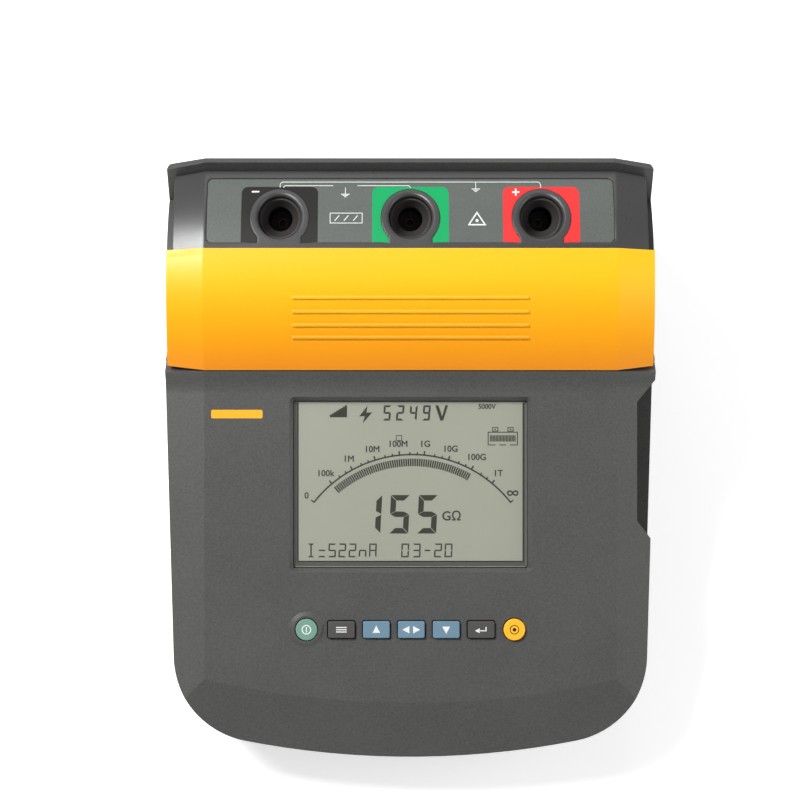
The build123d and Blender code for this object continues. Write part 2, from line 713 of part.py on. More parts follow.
# ---- Keys, their sealing mat and their switches ----
KEY_FLANGE_W = 45.7
KEY_STEM_W = 43.0
KEY_SPOTS = [(x, KEY_ROW_V) for x in [-ROUND_KEY_X] + RECT_KEYS_X + [ROUND_KEY_X]]
KEY_NAMES = [
    "key_power",
    "key_function",
    "key_up",
    "key_left_right",
    "key_down",
    "key_enter",
    "key_test",
]
ROUND_KEYS = ["key_power", "key_test"]

for key_name, key_spot in zip(KEY_NAMES, KEY_SPOTS):
    is_round = key_name in ROUND_KEYS
    with BuildPart() as key:
        with BuildSketch(panel.offset(KEY_FLANGE_W)):
            with Locations(key_spot):
                if is_round:
                    Circle(ROUND_KEY_DIAMETER / 2)
                else:
                    RectangleRounded(KEY_WIDTH, KEY_HEIGHT, 0.9)
        extrude(amount=KEY_TOP_W - KEY_FLANGE_W)
        fillet(key.faces().sort_by(Axis(corner, out_panel))[-1].edges(), radius=0.45)
        with BuildSketch(panel.offset(KEY_FLANGE_W)):
            with Locations(key_spot):
                if is_round:
                    Circle(ROUND_KEY_DIAMETER / 2 + 1.3)
                else:
                    RectangleRounded(KEY_WIDTH + 1.9, KEY_HEIGHT + 2, 1.2)
        extrude(amount=1.4)
        with BuildSketch(panel.offset(KEY_STEM_W)):
            with Locations(key_spot):
                Circle(2.5)
        extrude(amount=KEY_FLANGE_W - KEY_STEM_W + 0.5)
    key.part.label = key_name
    export_step(key.part, "parts/" + key_name + ".step")

with BuildPart() as keypad_seal:
    with BuildSketch(panel.offset(43.2)):
        with Locations((0, KEY_ROW_V)):
            RectangleRounded(123, 21, 3)
        with Locations(*KEY_SPOTS):
            Circle(3.2, mode=Mode.SUBTRACT)
    extrude(amount=0.8)
    with BuildSketch(panel.offset(43.2)):
        with Locations((0, KEY_ROW_V)):
            RectangleRounded(123, 21, 3)
            RectangleRounded(119.4, 17.4, 1.5, mode=Mode.SUBTRACT)
    extrude(amount=PANEL_W - WALL - 43.2)
keypad_seal.part.label = "keypad_seal"
export_step(keypad_seal.part, "parts/keypad_seal.step")

with BuildPart() as key_switches:
    with BuildSketch(panel.offset(BOARD_W)):
        with Locations(*KEY_SPOTS):
            Rectangle(6, 6)
    extrude(amount=3.5)
    with BuildSketch(panel.offset(BOARD_W + 3.5)):
        with Locations(*KEY_SPOTS):
            Circle(1.7)
    extrude(amount=1.5)
key_switches.part.label = "key_switches"
export_step(key_switches.part, "parts/key_switches.step")

with BuildPart() as buzzer:
    with BuildSketch(panel.offset(BOARD_W - BOARD_THICKNESS)):
        with Locations((30, 78)):
            Circle(7)
    extrude(amount=-6)
    with BuildSketch(panel.offset(BOARD_W - BOARD_THICKNESS - 6)):
        with Locations((30, 78)):
            Circle(1.2)
    extrude(amount=2, mode=Mode.SUBTRACT)
buzzer.part.label = "buzzer"
export_step(buzzer.part, "parts/buzzer.step")

# ---- Main board with the high-voltage circuit ----
BOARD_TOP = BOARD_Z + BOARD_THICKNESS
board_top = Plane.XY.offset(BOARD_TOP)

with BuildPart() as main_board:
    with BuildSketch(Plane.XY.offset(BOARD_Z)):
        with Locations((0, MAIN_BOARD_Y)):
            RectangleRounded(MAIN_BOARD_SIZE[0], MAIN_BOARD_SIZE[1], 3)
            with GridLocations(MAIN_BOARD_SIZE[0] - 12, MAIN_BOARD_SIZE[1] - 12, 2, 2):
                Circle(1.35, mode=Mode.SUBTRACT)
    extrude(amount=BOARD_THICKNESS)
main_board.part.label = "main_board"
export_step(main_board.part, "parts/main_board.step")

with BuildPart() as main_board_screws:
    with BuildSketch(board_top):
        with Locations((0, MAIN_BOARD_Y)):
            with GridLocations(MAIN_BOARD_SIZE[0] - 12, MAIN_BOARD_SIZE[1] - 12, 2, 2):
                Circle(2.8)
    extrude(amount=1.7)
    with BuildSketch(board_top):
        with Locations((0, MAIN_BOARD_Y)):
            with GridLocations(MAIN_BOARD_SIZE[0] - 12, MAIN_BOARD_SIZE[1] - 12, 2, 2):
                Circle(1.2)
    extrude(amount=-9)
main_board_screws.part.label = "main_board_screws"
export_step(main_board_screws.part, "parts/main_board_screws.step")

with BuildPart() as hv_transformer:
    with BuildSketch(board_top):
        with Locations((-52, -22)):
            Rectangle(38, 44)
    extrude(amount=5)
    with BuildSketch(board_top.offset(5)):
        with Locations((-52, -22)):
            RectangleRounded(24, 30, 5)
    extrude(amount=22)
    with BuildSketch(board_top.offset(10)):
        with Locations((-52, -22)):
            Rectangle(36, 9)
    extrude(amount=17)
    with BuildSketch(board_top.offset(27)):
        with Locations((-52, -22)):
            Rectangle(36, 42)
    extrude(amount=4)
hv_transformer.part.label = "hv_transformer"
export_step(hv_transformer.part, "parts/hv_transformer.step")


def board_parts(name, plane, spots, width, depth, height, rounding):
    """Group of like parts that stand on a board."""
    with BuildPart() as group:
        with BuildSketch(plane):
            with Locations(*spots):
                RectangleRounded(width, depth, rounding)
        extrude(amount=height)
        chamfer(group.edges().group_by(Axis.Z)[-1], length=0.4)
    group.part.label = name
    export_step(group.part, "parts/" + name + ".step")


board_parts("hv_capacitors", board_top, [(18 + 17 * n, -14) for n in range(4)], 11, 30, 24, 2)
board_parts("range_relays", board_top, [(-60 + 22 * n, -70) for n in range(5)], 15, 8, 11, 0.8)

with BuildPart() as divider_resistors:
    for spot_x in (-8, 2, 12, 22):
        with BuildSketch(Plane(origin=(spot_x + 34, 6, BOARD_TOP + 3), z_dir=(0, 1, 0))):
            Circle(2.4)
        extrude(amount=20)
        with BuildSketch(board_top):
            with Locations((spot_x + 34, 8), (spot_x + 34, 24)):
                Circle(0.5)
        extrude(amount=3)
divider_resistors.part.label = "divider_resistors"
export_step(divider_resistors.part, "parts/divider_resistors.step")

with BuildPart() as heat_sink:
    with BuildSketch(board_top):
        with Locations((58, -66)):
            Rectangle(14, 32)
    extrude(amount=3)
    with BuildSketch(board_top.offset(3)):
        with Locations((58, -66)):
            with GridLocations(3.6, 1, 4, 1):
                Rectangle(1.4, 32)
    extrude(amount=17)
heat_sink.part.label = "heat_sink"
export_step(heat_sink.part, "parts/heat_sink.step")

# ---- Ribbon between the boards, with a header on each ----
RIBBON_V = 110.0
ribbon_foot_w = (BOARD_TOP - FOOT_HEIGHT - RIBBON_V * sin(tilt)) / cos(tilt)
foot_y = FRONT_Y + RIBBON_V * cos(tilt) - ribbon_foot_w * sin(tilt)

with BuildPart() as board_headers:
    with BuildSketch(panel.offset(BOARD_W - BOARD_THICKNESS)):
        with Locations((-10, RIBBON_V)):
            Rectangle(34, 6)
    extrude(amount=-5)
    with BuildSketch(board_top):
        with Locations((-10, foot_y)):
            Rectangle(34, 6)
    extrude(amount=6)
board_headers.part.label = "board_headers"
export_step(board_headers.part, "parts/board_headers.step")

with BuildPart() as ribbon_cable:
    with BuildSketch(Plane(origin=corner + Vector(-25, 0, 0), x_dir=up_panel, z_dir=(1, 0, 0))):
        with BuildLine():
            FilletPolyline(
                (RIBBON_V, BOARD_W - BOARD_THICKNESS - 5),
                (RIBBON_V, 16),
                (RIBBON_V + 16, -2),
                (RIBBON_V - 1.6, ribbon_foot_w + 18),
                (RIBBON_V + 2.6, ribbon_foot_w + 6.0),
                radius=5,
            )
        trace(line_width=0.9)
    extrude(amount=30)
ribbon_cable.part.label = "ribbon_cable"
export_step(ribbon_cable.part, "parts/ribbon_cable.step")

# ---- Battery, its hatch and its bracket ----
BATTERY_Z = 6.4
battery_width, battery_depth, battery_height = BATTERY_SIZE

with BuildPart() as battery:
    with BuildSketch(Plane.XY.offset(BATTERY_Z)):
        with Locations((0, BATTERY_Y)):
            RectangleRounded(battery_width, battery_depth, 2)
    extrude(amount=battery_height)
    with BuildSketch(Plane.XY.offset(BATTERY_Z + battery_height - 12)):
        with Locations((0, BATTERY_Y)):
            RectangleRounded(battery_width, battery_depth, 2)
            RectangleRounded(battery_width - 1.4, battery_depth - 1.4, 2, mode=Mode.SUBTRACT)
    extrude(amount=0.8, mode=Mode.SUBTRACT)
battery.part.label = "battery"
export_step(battery.part, "parts/battery.step")

BATTERY_TOP = BATTERY_Z + battery_height
with BuildPart() as battery_terminals:
    with BuildSketch(Plane.XY.offset(BATTERY_TOP)):
        with Locations((-57, 62), (57, 62)):
            Rectangle(6.3, 3.6)
    extrude(amount=1)
    with BuildSketch(Plane.XY.offset(BATTERY_TOP + 1)):
        with Locations((-57, 62), (57, 62)):
            Rectangle(6.3, 0.8)
    extrude(amount=6)
battery_terminals.part.label = "battery_terminals"
export_step(battery_terminals.part, "parts/battery_terminals.step")

with BuildPart() as battery_door:
    with BuildSketch(base):
        with Locations((0, BATTERY_Y)):
            RectangleRounded(DOOR_SIZE[0], DOOR_SIZE[1], 1)
        with Locations(*DOOR_SCREW_SPOTS):
            Circle(1.6, mode=Mode.SUBTRACT)
    extrude(amount=1.4)
    with BuildSketch(base.offset(1.4)):
        with Locations((0, BATTERY_Y)):
            Rectangle(battery_width + 0.4, battery_depth + 0.4)
    extrude(amount=1.2)
    with BuildSketch(base):
        with Locations(*DOOR_SCREW_SPOTS):
            Circle(2.5)
    extrude(amount=0.9, mode=Mode.SUBTRACT)
battery_door.part.label = "battery_door"
export_step(battery_door.part, "parts/battery_door.step")

with BuildPart() as battery_door_screws:
    with BuildSketch(base.offset(0.1)):
        with Locations(*DOOR_SCREW_SPOTS):
            Circle(2.4)
    extrude(amount=0.8)
    with BuildSketch(base.offset(0.1)):
        with Locations(*DOOR_SCREW_SPOTS):
            Rectangle(3, 0.6)
            Rectangle(0.6, 3)
    extrude(amount=0.4, mode=Mode.SUBTRACT)
    with BuildSketch(base.offset(0.9)):
        with Locations(*DOOR_SCREW_SPOTS):
            Circle(1.5)
    extrude(amount=2)
battery_door_screws.part.label = "battery_door_screws"
export_step(battery_door_screws.part, "parts/battery_door_screws.step")

with BuildPart() as battery_pad:
    with BuildSketch(base.offset(2.6)):
        with Locations((0, BATTERY_Y)):
            Rectangle(battery_width - 6, battery_depth - 6)
    extrude(amount=BATTERY_Z - FOOT_HEIGHT - 2.6)
battery_pad.part.label = "battery_pad"
export_step(battery_pad.part, "parts/battery_pad.step")

BRACKET_TOP = BATTERY_TOP + 2.6
with BuildPart() as battery_bracket:
    with BuildSketch(Plane(origin=(0, BATTERY_Y + 22, 0), x_dir=(1, 0, 0), z_dir=(0, -1, 0))):
        with BuildLine():
            Polyline(
                (-90, FOOT_HEIGHT + WALL + 0.75),
                (-72.5, FOOT_HEIGHT + WALL + 0.75),
                (-72.5, BRACKET_TOP - 0.75),
                (72.5, BRACKET_TOP - 0.75),
                (72.5, FOOT_HEIGHT + WALL + 0.75),
                (90, FOOT_HEIGHT + WALL + 0.75),
            )
        trace(line_width=1.5)
    extrude(amount=44)
    with BuildSketch(base.offset(WALL)):
        with Locations(*BRACKET_SCREW_SPOTS):
            Circle(1.7)
    extrude(amount=2, mode=Mode.SUBTRACT)
battery_bracket.part.label = "battery_bracket"
export_step(battery_bracket.part, "parts/battery_bracket.step")

with BuildPart() as bracket_screws:
    with BuildSketch(base.offset(WALL + 1.5)):
        with Locations(*BRACKET_SCREW_SPOTS):
            Circle(3)
    extrude(amount=2)
    with BuildSketch(base.offset(WALL + 1.5)):
        with Locations(*BRACKET_SCREW_SPOTS):
            Circle(1.45)
    extrude(amount=-3.5)
bracket_screws.part.label = "bracket_screws"
export_step(bracket_screws.part, "parts/bracket_screws.step")

# ---- Charger on the bracket ----
CHARGER_Z = BRACKET_TOP + 8
CHARGER_SPACERS = [(-48, 77), (48, 77), (-48, 107), (48, 107)]

with BuildPart() as charger_spacers:
    with BuildSketch(Plane.XY.offset(BRACKET_TOP)):
        with Locations(*CHARGER_SPACERS):
            RegularPolygon(3.2, 6)
    extrude(amount=8)
charger_spacers.part.label = "charger_spacers"
export_step(charger_spacers.part, "parts/charger_spacers.step")

with BuildPart() as charger_board:
    with BuildSketch(Plane.XY.offset(CHARGER_Z)):
        with Locations((0, BATTERY_Y)):
            RectangleRounded(112, 48, 2)
    extrude(amount=BOARD_THICKNESS)
charger_board.part.label = "charger_board"
export_step(charger_board.part, "parts/charger_board.step")

charger_top = Plane.XY.offset(CHARGER_Z + BOARD_THICKNESS)
board_parts("charger_transformer", charger_top, [(-32, BATTERY_Y - 4)], 28, 30, 24, 1)

with BuildPart() as charger_components:
    with BuildSketch(charger_top):
        with Locations((28, BATTERY_Y + 8)):
            Circle(9)
    extrude(amount=22)
    fillet(charger_components.faces().sort_by(Axis.Z)[-1].edges(), radius=1)
    with BuildSketch(charger_top):
        with Locations((36, BATTERY_Y - 7)):
            RectangleRounded(22, 7, 1)
    extrude(amount=8)
charger_components.part.label = "charger_components"
export_step(charger_components.part, "parts/charger_components.step")

# ---- Mains inlet in the side pocket, its pins and screws, and the infrared window in the notch ----
inlet_plane = Plane(origin=corner + Vector(NOTCH_X, 0, 0), x_dir=up_panel, z_dir=(1, 0, 0))
inlet_spot = (INLET_V, INLET_W)
PIN_SPOTS = [(INLET_V - 7, INLET_W - 2), (INLET_V + 7, INLET_W - 2), (INLET_V, INLET_W + 2)]

with BuildPart() as mains_inlet:
    with BuildSketch(inlet_plane):
        with Locations(inlet_spot):
            RectangleRounded(50, 22.4, 4)
            with GridLocations(40, 1, 2, 1):
                Circle(1.6, mode=Mode.SUBTRACT)
    extrude(amount=2.5)
    with BuildSketch(inlet_plane):
        with Locations(inlet_spot):
            RectangleRounded(27.4, 19.6, 1)
    extrude(amount=-23)
    with BuildSketch(inlet_plane.offset(2.5)):
        with Locations(inlet_spot):
            RectangleRounded(24.2, 16.4, 2)
    extrude(amount=-18.5, mode=Mode.SUBTRACT)
    with BuildSketch(inlet_plane.offset(-10)):
        with Locations(*PIN_SPOTS):
            Rectangle(2.1, 4.1)
    extrude(amount=-20, mode=Mode.SUBTRACT)
mains_inlet.part.label = "mains_inlet"
export_step(mains_inlet.part, "parts/mains_inlet.step")

with BuildPart() as inlet_pins:
    with BuildSketch(inlet_plane.offset(-3.5)):
        with Locations(*PIN_SPOTS):
            Rectangle(2, 4)
    extrude(amount=-24)
inlet_pins.part.label = "inlet_pins"
export_step(inlet_pins.part, "parts/inlet_pins.step")

with BuildPart() as inlet_screws:
    with BuildSketch(inlet_plane.offset(2.5)):
        with Locations(inlet_spot):
            with GridLocations(40, 1, 2, 1):
                Circle(2.9)
    extrude(amount=1.6)
    with BuildSketch(inlet_plane.offset(4.2)):
        with Locations(inlet_spot):
            with GridLocations(40, 1, 2, 1):
                Rectangle(3.6, 0.7)
                Rectangle(0.7, 3.6)
    extrude(amount=-0.9, mode=Mode.SUBTRACT)
    with BuildSketch(inlet_plane.offset(2.5)):
        with Locations(inlet_spot):
            with GridLocations(40, 1, 2, 1):
                Circle(1.5)
    extrude(amount=-8)
inlet_screws.part.label = "inlet_screws"
export_step(inlet_screws.part, "parts/inlet_screws.step")

with BuildPart() as infrared_window:
    with BuildSketch(inlet_plane.offset(-0.3)):
        with Locations((INLET_V, INFRARED_W)):
            RectangleRounded(15.7, 7.7, 1.9)
    extrude(amount=-WALL + 0.3)
    with BuildSketch(inlet_plane.offset(-WALL)):
        with Locations((INLET_V, INFRARED_W)):
            RectangleRounded(19, 11, 1)
    extrude(amount=-1)
infrared_window.part.label = "infrared_window"
export_step(infrared_window.part, "parts/infrared_window.step")

# ---- Internal leads ----


def lead(points, lead_radius, bend):
    """Round lead along straight runs joined by arcs."""
    with BuildPart(mode=Mode.PRIVATE) as one_lead:
        with BuildLine(mode=Mode.PRIVATE) as route:
            FilletPolyline(*points, radius=bend)
        with BuildSketch(Plane(origin=points[0], z_dir=points[1] - points[0])):
            Circle(lead_radius)
        sweep(path=route.wires()[0])
    return one_lead.part


contact_end = corner + up_panel * SOCKET_V - out_panel * 8
with BuildPart() as hv_leads:
    for socket_x in SOCKETS_X:
        start = contact_end + Vector(socket_x, 0, 0)
        low_x = socket_x * 0.44 - 24
        route_points = [
            start,
            start - out_panel * 12,
            Vector(socket_x, 50, 92),
            Vector(low_x, 30, 58),
            Vector(low_x, 30, BOARD_TOP),
        ]
        add(lead(route_points, 1.7, 5))
hv_leads.part.label = "hv_leads"
export_step(hv_leads.part, "parts/hv_leads.step")

with BuildPart() as battery_leads:
    for hand in (-1, 1):
        route_points = [
            Vector(hand * 57, 62, BATTERY_TOP + 7),
            Vector(hand * 57, 62, BATTERY_TOP + 22),
            Vector(hand * 70, 48, BATTERY_TOP + 18),
            Vector(hand * 76, 33, 40),
            Vector(hand * 76, 33, BOARD_TOP),
        ]
        add(lead(route_points, 1.2, 5))
battery_leads.part.label = "battery_leads"
export_step(battery_leads.part, "parts/battery_leads.step")

with BuildPart() as inlet_leads:
    for n, pin_spot in enumerate(PIN_SPOTS):
        start = corner + Vector(NOTCH_X - 27.5, 0, 0) + up_panel * pin_spot[0] + out_panel * pin_spot[1]
        route_points = [
            start,
            start - Vector(10, 0, 0),
            Vector(66 - 3 * n, 34, 96 + 4 * n),
            Vector(50 - 6 * n, 62, 98 + 4 * n),
            Vector(50 - 6 * n, 73, CHARGER_Z + 8),
            Vector(50 - 6 * n, 73, CHARGER_Z + BOARD_THICKNESS),
        ]
        add(lead(route_points, 1.1, 3))
inlet_leads.part.label = "inlet_leads"
export_step(inlet_leads.part, "parts/inlet_leads.step")

# ---- Case fasteners and feet ----
with BuildPart() as case_screws:
    with BuildSketch(panel.offset(SPLIT_W - 12)):
        with Locations(*TUNNEL_SPOTS):
            Circle(3.4)
    extrude(amount=-3)
    with BuildSketch(panel.offset(SPLIT_W - 15)):
        with Locations(*TUNNEL_SPOTS):
            Rectangle(4.4, 0.9)
            Rectangle(0.9, 4.4)
    extrude(amount=1.2, mode=Mode.SUBTRACT)
    with BuildSketch(panel.offset(SPLIT_W - 12)):
        with Locations(*TUNNEL_SPOTS):
            Circle(1.9)
    extrude(amount=18)
case_screws.part.label = "case_screws"
export_step(case_screws.part, "parts/case_screws.step")

with BuildPart() as deck_screws:
    with BuildSketch(panel.offset(SPLIT_W + 0.3)):
        with Locations(*DECK_SCREW_SPOTS):
            Circle(2.9)
    extrude(amount=-1.8)
    with BuildSketch(panel.offset(SPLIT_W + 0.3)):
        with Locations(*DECK_SCREW_SPOTS):
            Circle(1.45)
    extrude(amount=12)
deck_screws.part.label = "deck_screws"
export_step(deck_screws.part, "parts/deck_screws.step")

with BuildPart() as rubber_feet:
    with BuildSketch():
        with Locations(*FOOT_SPOTS):
            Circle(8)
    extrude(amount=FOOT_HEIGHT + 1)
    chamfer(rubber_feet.edges().group_by(Axis.Z)[0], length=0.8)
rubber_feet.part.label = "rubber_feet"
export_step(rubber_feet.part, "parts/rubber_feet.step")
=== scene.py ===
import json
from math import asin, cos, hypot, pi, radians, sin, tan

import bmesh
import bpy
from mathutils import Matrix, Vector


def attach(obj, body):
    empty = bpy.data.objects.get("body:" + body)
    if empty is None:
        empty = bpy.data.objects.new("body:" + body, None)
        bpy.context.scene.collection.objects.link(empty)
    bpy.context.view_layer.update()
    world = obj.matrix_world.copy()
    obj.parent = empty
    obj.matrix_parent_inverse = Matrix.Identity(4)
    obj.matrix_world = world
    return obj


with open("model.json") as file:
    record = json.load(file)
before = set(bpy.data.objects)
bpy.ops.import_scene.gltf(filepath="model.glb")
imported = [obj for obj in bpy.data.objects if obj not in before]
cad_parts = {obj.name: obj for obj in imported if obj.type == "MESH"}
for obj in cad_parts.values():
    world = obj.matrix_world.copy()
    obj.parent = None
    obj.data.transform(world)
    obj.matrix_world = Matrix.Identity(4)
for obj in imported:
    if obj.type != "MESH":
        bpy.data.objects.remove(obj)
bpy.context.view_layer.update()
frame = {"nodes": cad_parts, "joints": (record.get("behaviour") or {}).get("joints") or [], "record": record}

nodes = frame["nodes"]
joints = {joint["name"]: joint for joint in frame["joints"]}
mounts = {mount["name"]: mount for mount in frame["record"]["mounts"]}

# Case frame, in mm: x across, v up the sloping panel from its front edge, w out of the panel. The panel's
# face is at PANEL_W. The drum is the round roof that carries the label and the cover.
MM = 0.001
PANEL_W = 50.5
DRUM_V = 233.0
DRUM_W = -19.2
ACROSS = Vector((1, 0, 0))
OUT = -Vector(joints["key_up_press"]["axis"]).normalized()
UP = OUT.cross(ACROSS)
CORNER = Vector(joints["cover_turn"]["pos_m"]) - UP * DRUM_V * MM - OUT * DRUM_W * MM

# Printing: ink height, growth of the letters' strokes and distance at which corners are one, in mm
INK_DEPTH = 0.03
BOLD = 0.1
WELD = 0.0005

# Display: scale angles in degrees from upright, the rest in mm of the case frame
SCALE_CENTRE = (0.9, 87.2)
SCALE_RADIUS = 61.4
SCALE_END = 51.8
SCALE_FIRST = -40.0
SCALE_STEP = 11.38
SCALE_TEXT = 4.3
ARC_STROKE = 0.76
ARC_STEPS = 60
END_TICK = (-0.3, 1.8, 0.65)
MAJOR_TICK = (0.0, 2.0, 0.75)
MINOR_TICK = (0.0, 1.2, 0.65)
MINOR_SHARES = (0.42, 0.72)
BAR_LOW = 55.7
BAR_HIGH = 59.4
BAR_START = -40.4
BAR_STOP = 29.4
BAR_COUNT = 64
BAR_FILL = 0.7
VIEW_LEFT = -54.9
VIEW_RIGHT = 55.1
VIEW_LOW = 96.4
BORDER_MARGIN = 0.3
MASK_WIDTH = 0.6
SURROUND_WIDTH = 2.0

# Names along the scale: text and centre
SCALE_NAMES = (
    ("100k", -41.7, 139.3), ("1M", -30.3, 146.4), ("10M", -18.8, 151.1), ("100M", -6.1, 153.7),
    ("1G", 7.2, 153.7), ("10G", 19.7, 151.3), ("100G", 32.5, 147.2), ("1T", 43.1, 139.3),
)

# Other texts of the display: text, size and centre
DISPLAY_TEXTS = (
    ("0", SCALE_TEXT, -51.0, 128.3),
    ("∞", 6.6, 50.3, 129.6),
    ("GΩ", 6.4, 20.2, 118.2),
    ("5000V", 3.3, 37.6, 172.1),
)

# Segment readings: signs, corner x and v, sign width and height, stroke, pitch and slant in degrees
READINGS = (
    ("155", -24.2, 109.8, 9.4, 18.9, 2.7, 13.7, 3),
    ("5249", -13.6, 165.3, 3.7, 7.5, 0.95, 6.45, 5),
    ("I", -50.4, 98.1, 3.2, 6.8, 0.7, 5.1, 0),
    ("=522nA", -45.4, 98.1, 3.7, 6.8, 0.7, 5.0, 2),
    ("03", -4.6, 98.1, 3.8, 6.8, 0.7, 5.7, 2),
    ("-", 6.6, 98.1, 3.4, 6.8, 0.7, 5.0, 2),
    ("20", 11.6, 98.1, 3.8, 6.8, 0.7, 5.1, 2),
)
VOLT_SIGN = [
    (12.2, 172.8), (13.8, 172.8), (15.6, 167.3), (17.2, 172.8), (18.5, 172.8), (16.1, 165.3), (14.7, 165.3),
]
BOLT_SIGN = [
    (-21.0, 172.6), (-25.2, 167.3), (-22.4, 167.5), (-23.4, 163.9), (-18.8, 169.3), (-21.6, 169.2),
]

# Terminal label
PATCH_WIDTH = 37.5
PATCH_LOW = 252.3
PATCH_HIGH = 280.1
PATCH_ROUNDING = 3.2
RING_RADIUS = 14.6
LINE_STROKE = 0.32
EARTH_LINE_V = 282.6
GUARD_LINE_V = 280.7
EARTH_OFFSET = 32.1
POLE_STROKE = 0.8

# Key signs and the strip beside the display
SIGN_STROKE = 0.5
STRIP = (-97.6, -72.4, 166.4, 170.6)
STRIP_ROUNDING = 0.8
STRIP_DEPTH = 0.15

# Camera: distance and reach in m, lens in mm, place in the case frame
CAMERA_DISTANCE = 1.5
CAMERA_REACH = 20.0
CAMERA_LENS = 137.8
CAMERA_X = -5.1
CAMERA_V = 175.4

# Lights: power in W, width in m, place and target in the case frame
KEY_LIGHT = (50.0, 0.67, (-990, 1150, 1600), (-60, 220, 40))
FILL_LIGHT = (7.0, 1.2, (1500, 250, 1300), (40, 150, 30))
SIDE_LIGHT = (6.0, 0.8, (1500, 200, 330), (100, 150, 20))
REAR_LIGHT = (4.0, 1.0, (0, 1800, 460), (0, 250, 40))

# Sky's strength and half the floor's width in m
SKY_STRENGTH = 0.2
FLOOR_SIZE = 6.0

WHITE = (1.0, 1.0, 1.0, 1.0)


def point(x, v, w):
    """World point of a place in the case frame."""
    return CORNER + (ACROSS * x + UP * v + OUT * w) * MM


def span(node, direction):
    """Lowest and highest reach of a CAD node along a direction of the case frame, in mm."""
    reach = [(vertex.co - CORNER).dot(direction) / MM for vertex in nodes[node].data.vertices]
    return min(reach), max(reach)


def middle(node):
    """Centre of a CAD node across and up the panel, and the height of its top."""
    across = span(node, ACROSS)
    along = span(node, UP)
    return (sum(across) / 2, sum(along) / 2), span(node, OUT)[1]


def drum_reach(node):
    """Greatest distance of a CAD node from the drum's axis, in mm."""
    places = [(vertex.co - CORNER) / MM for vertex in nodes[node].data.vertices]
    return max(hypot(place.dot(UP) - DRUM_V, place.dot(OUT) - DRUM_W) for place in places)


def srgb(red, green, blue):
    """Linear colour of a display colour given from 0 to 255."""
    def linear(value):
        share = value / 255
        return share / 12.92 if share <= 0.04045 else ((share + 0.055) / 1.055) ** 2.4
    return (linear(red), linear(green), linear(blue), 1.0)


def scaled(colour, share):
    """The same colour, lighter or darker."""
    return tuple(min(1.0, part * share) for part in colour[:3]) + (1.0,)


# ---------------------------------------------------------------- materials


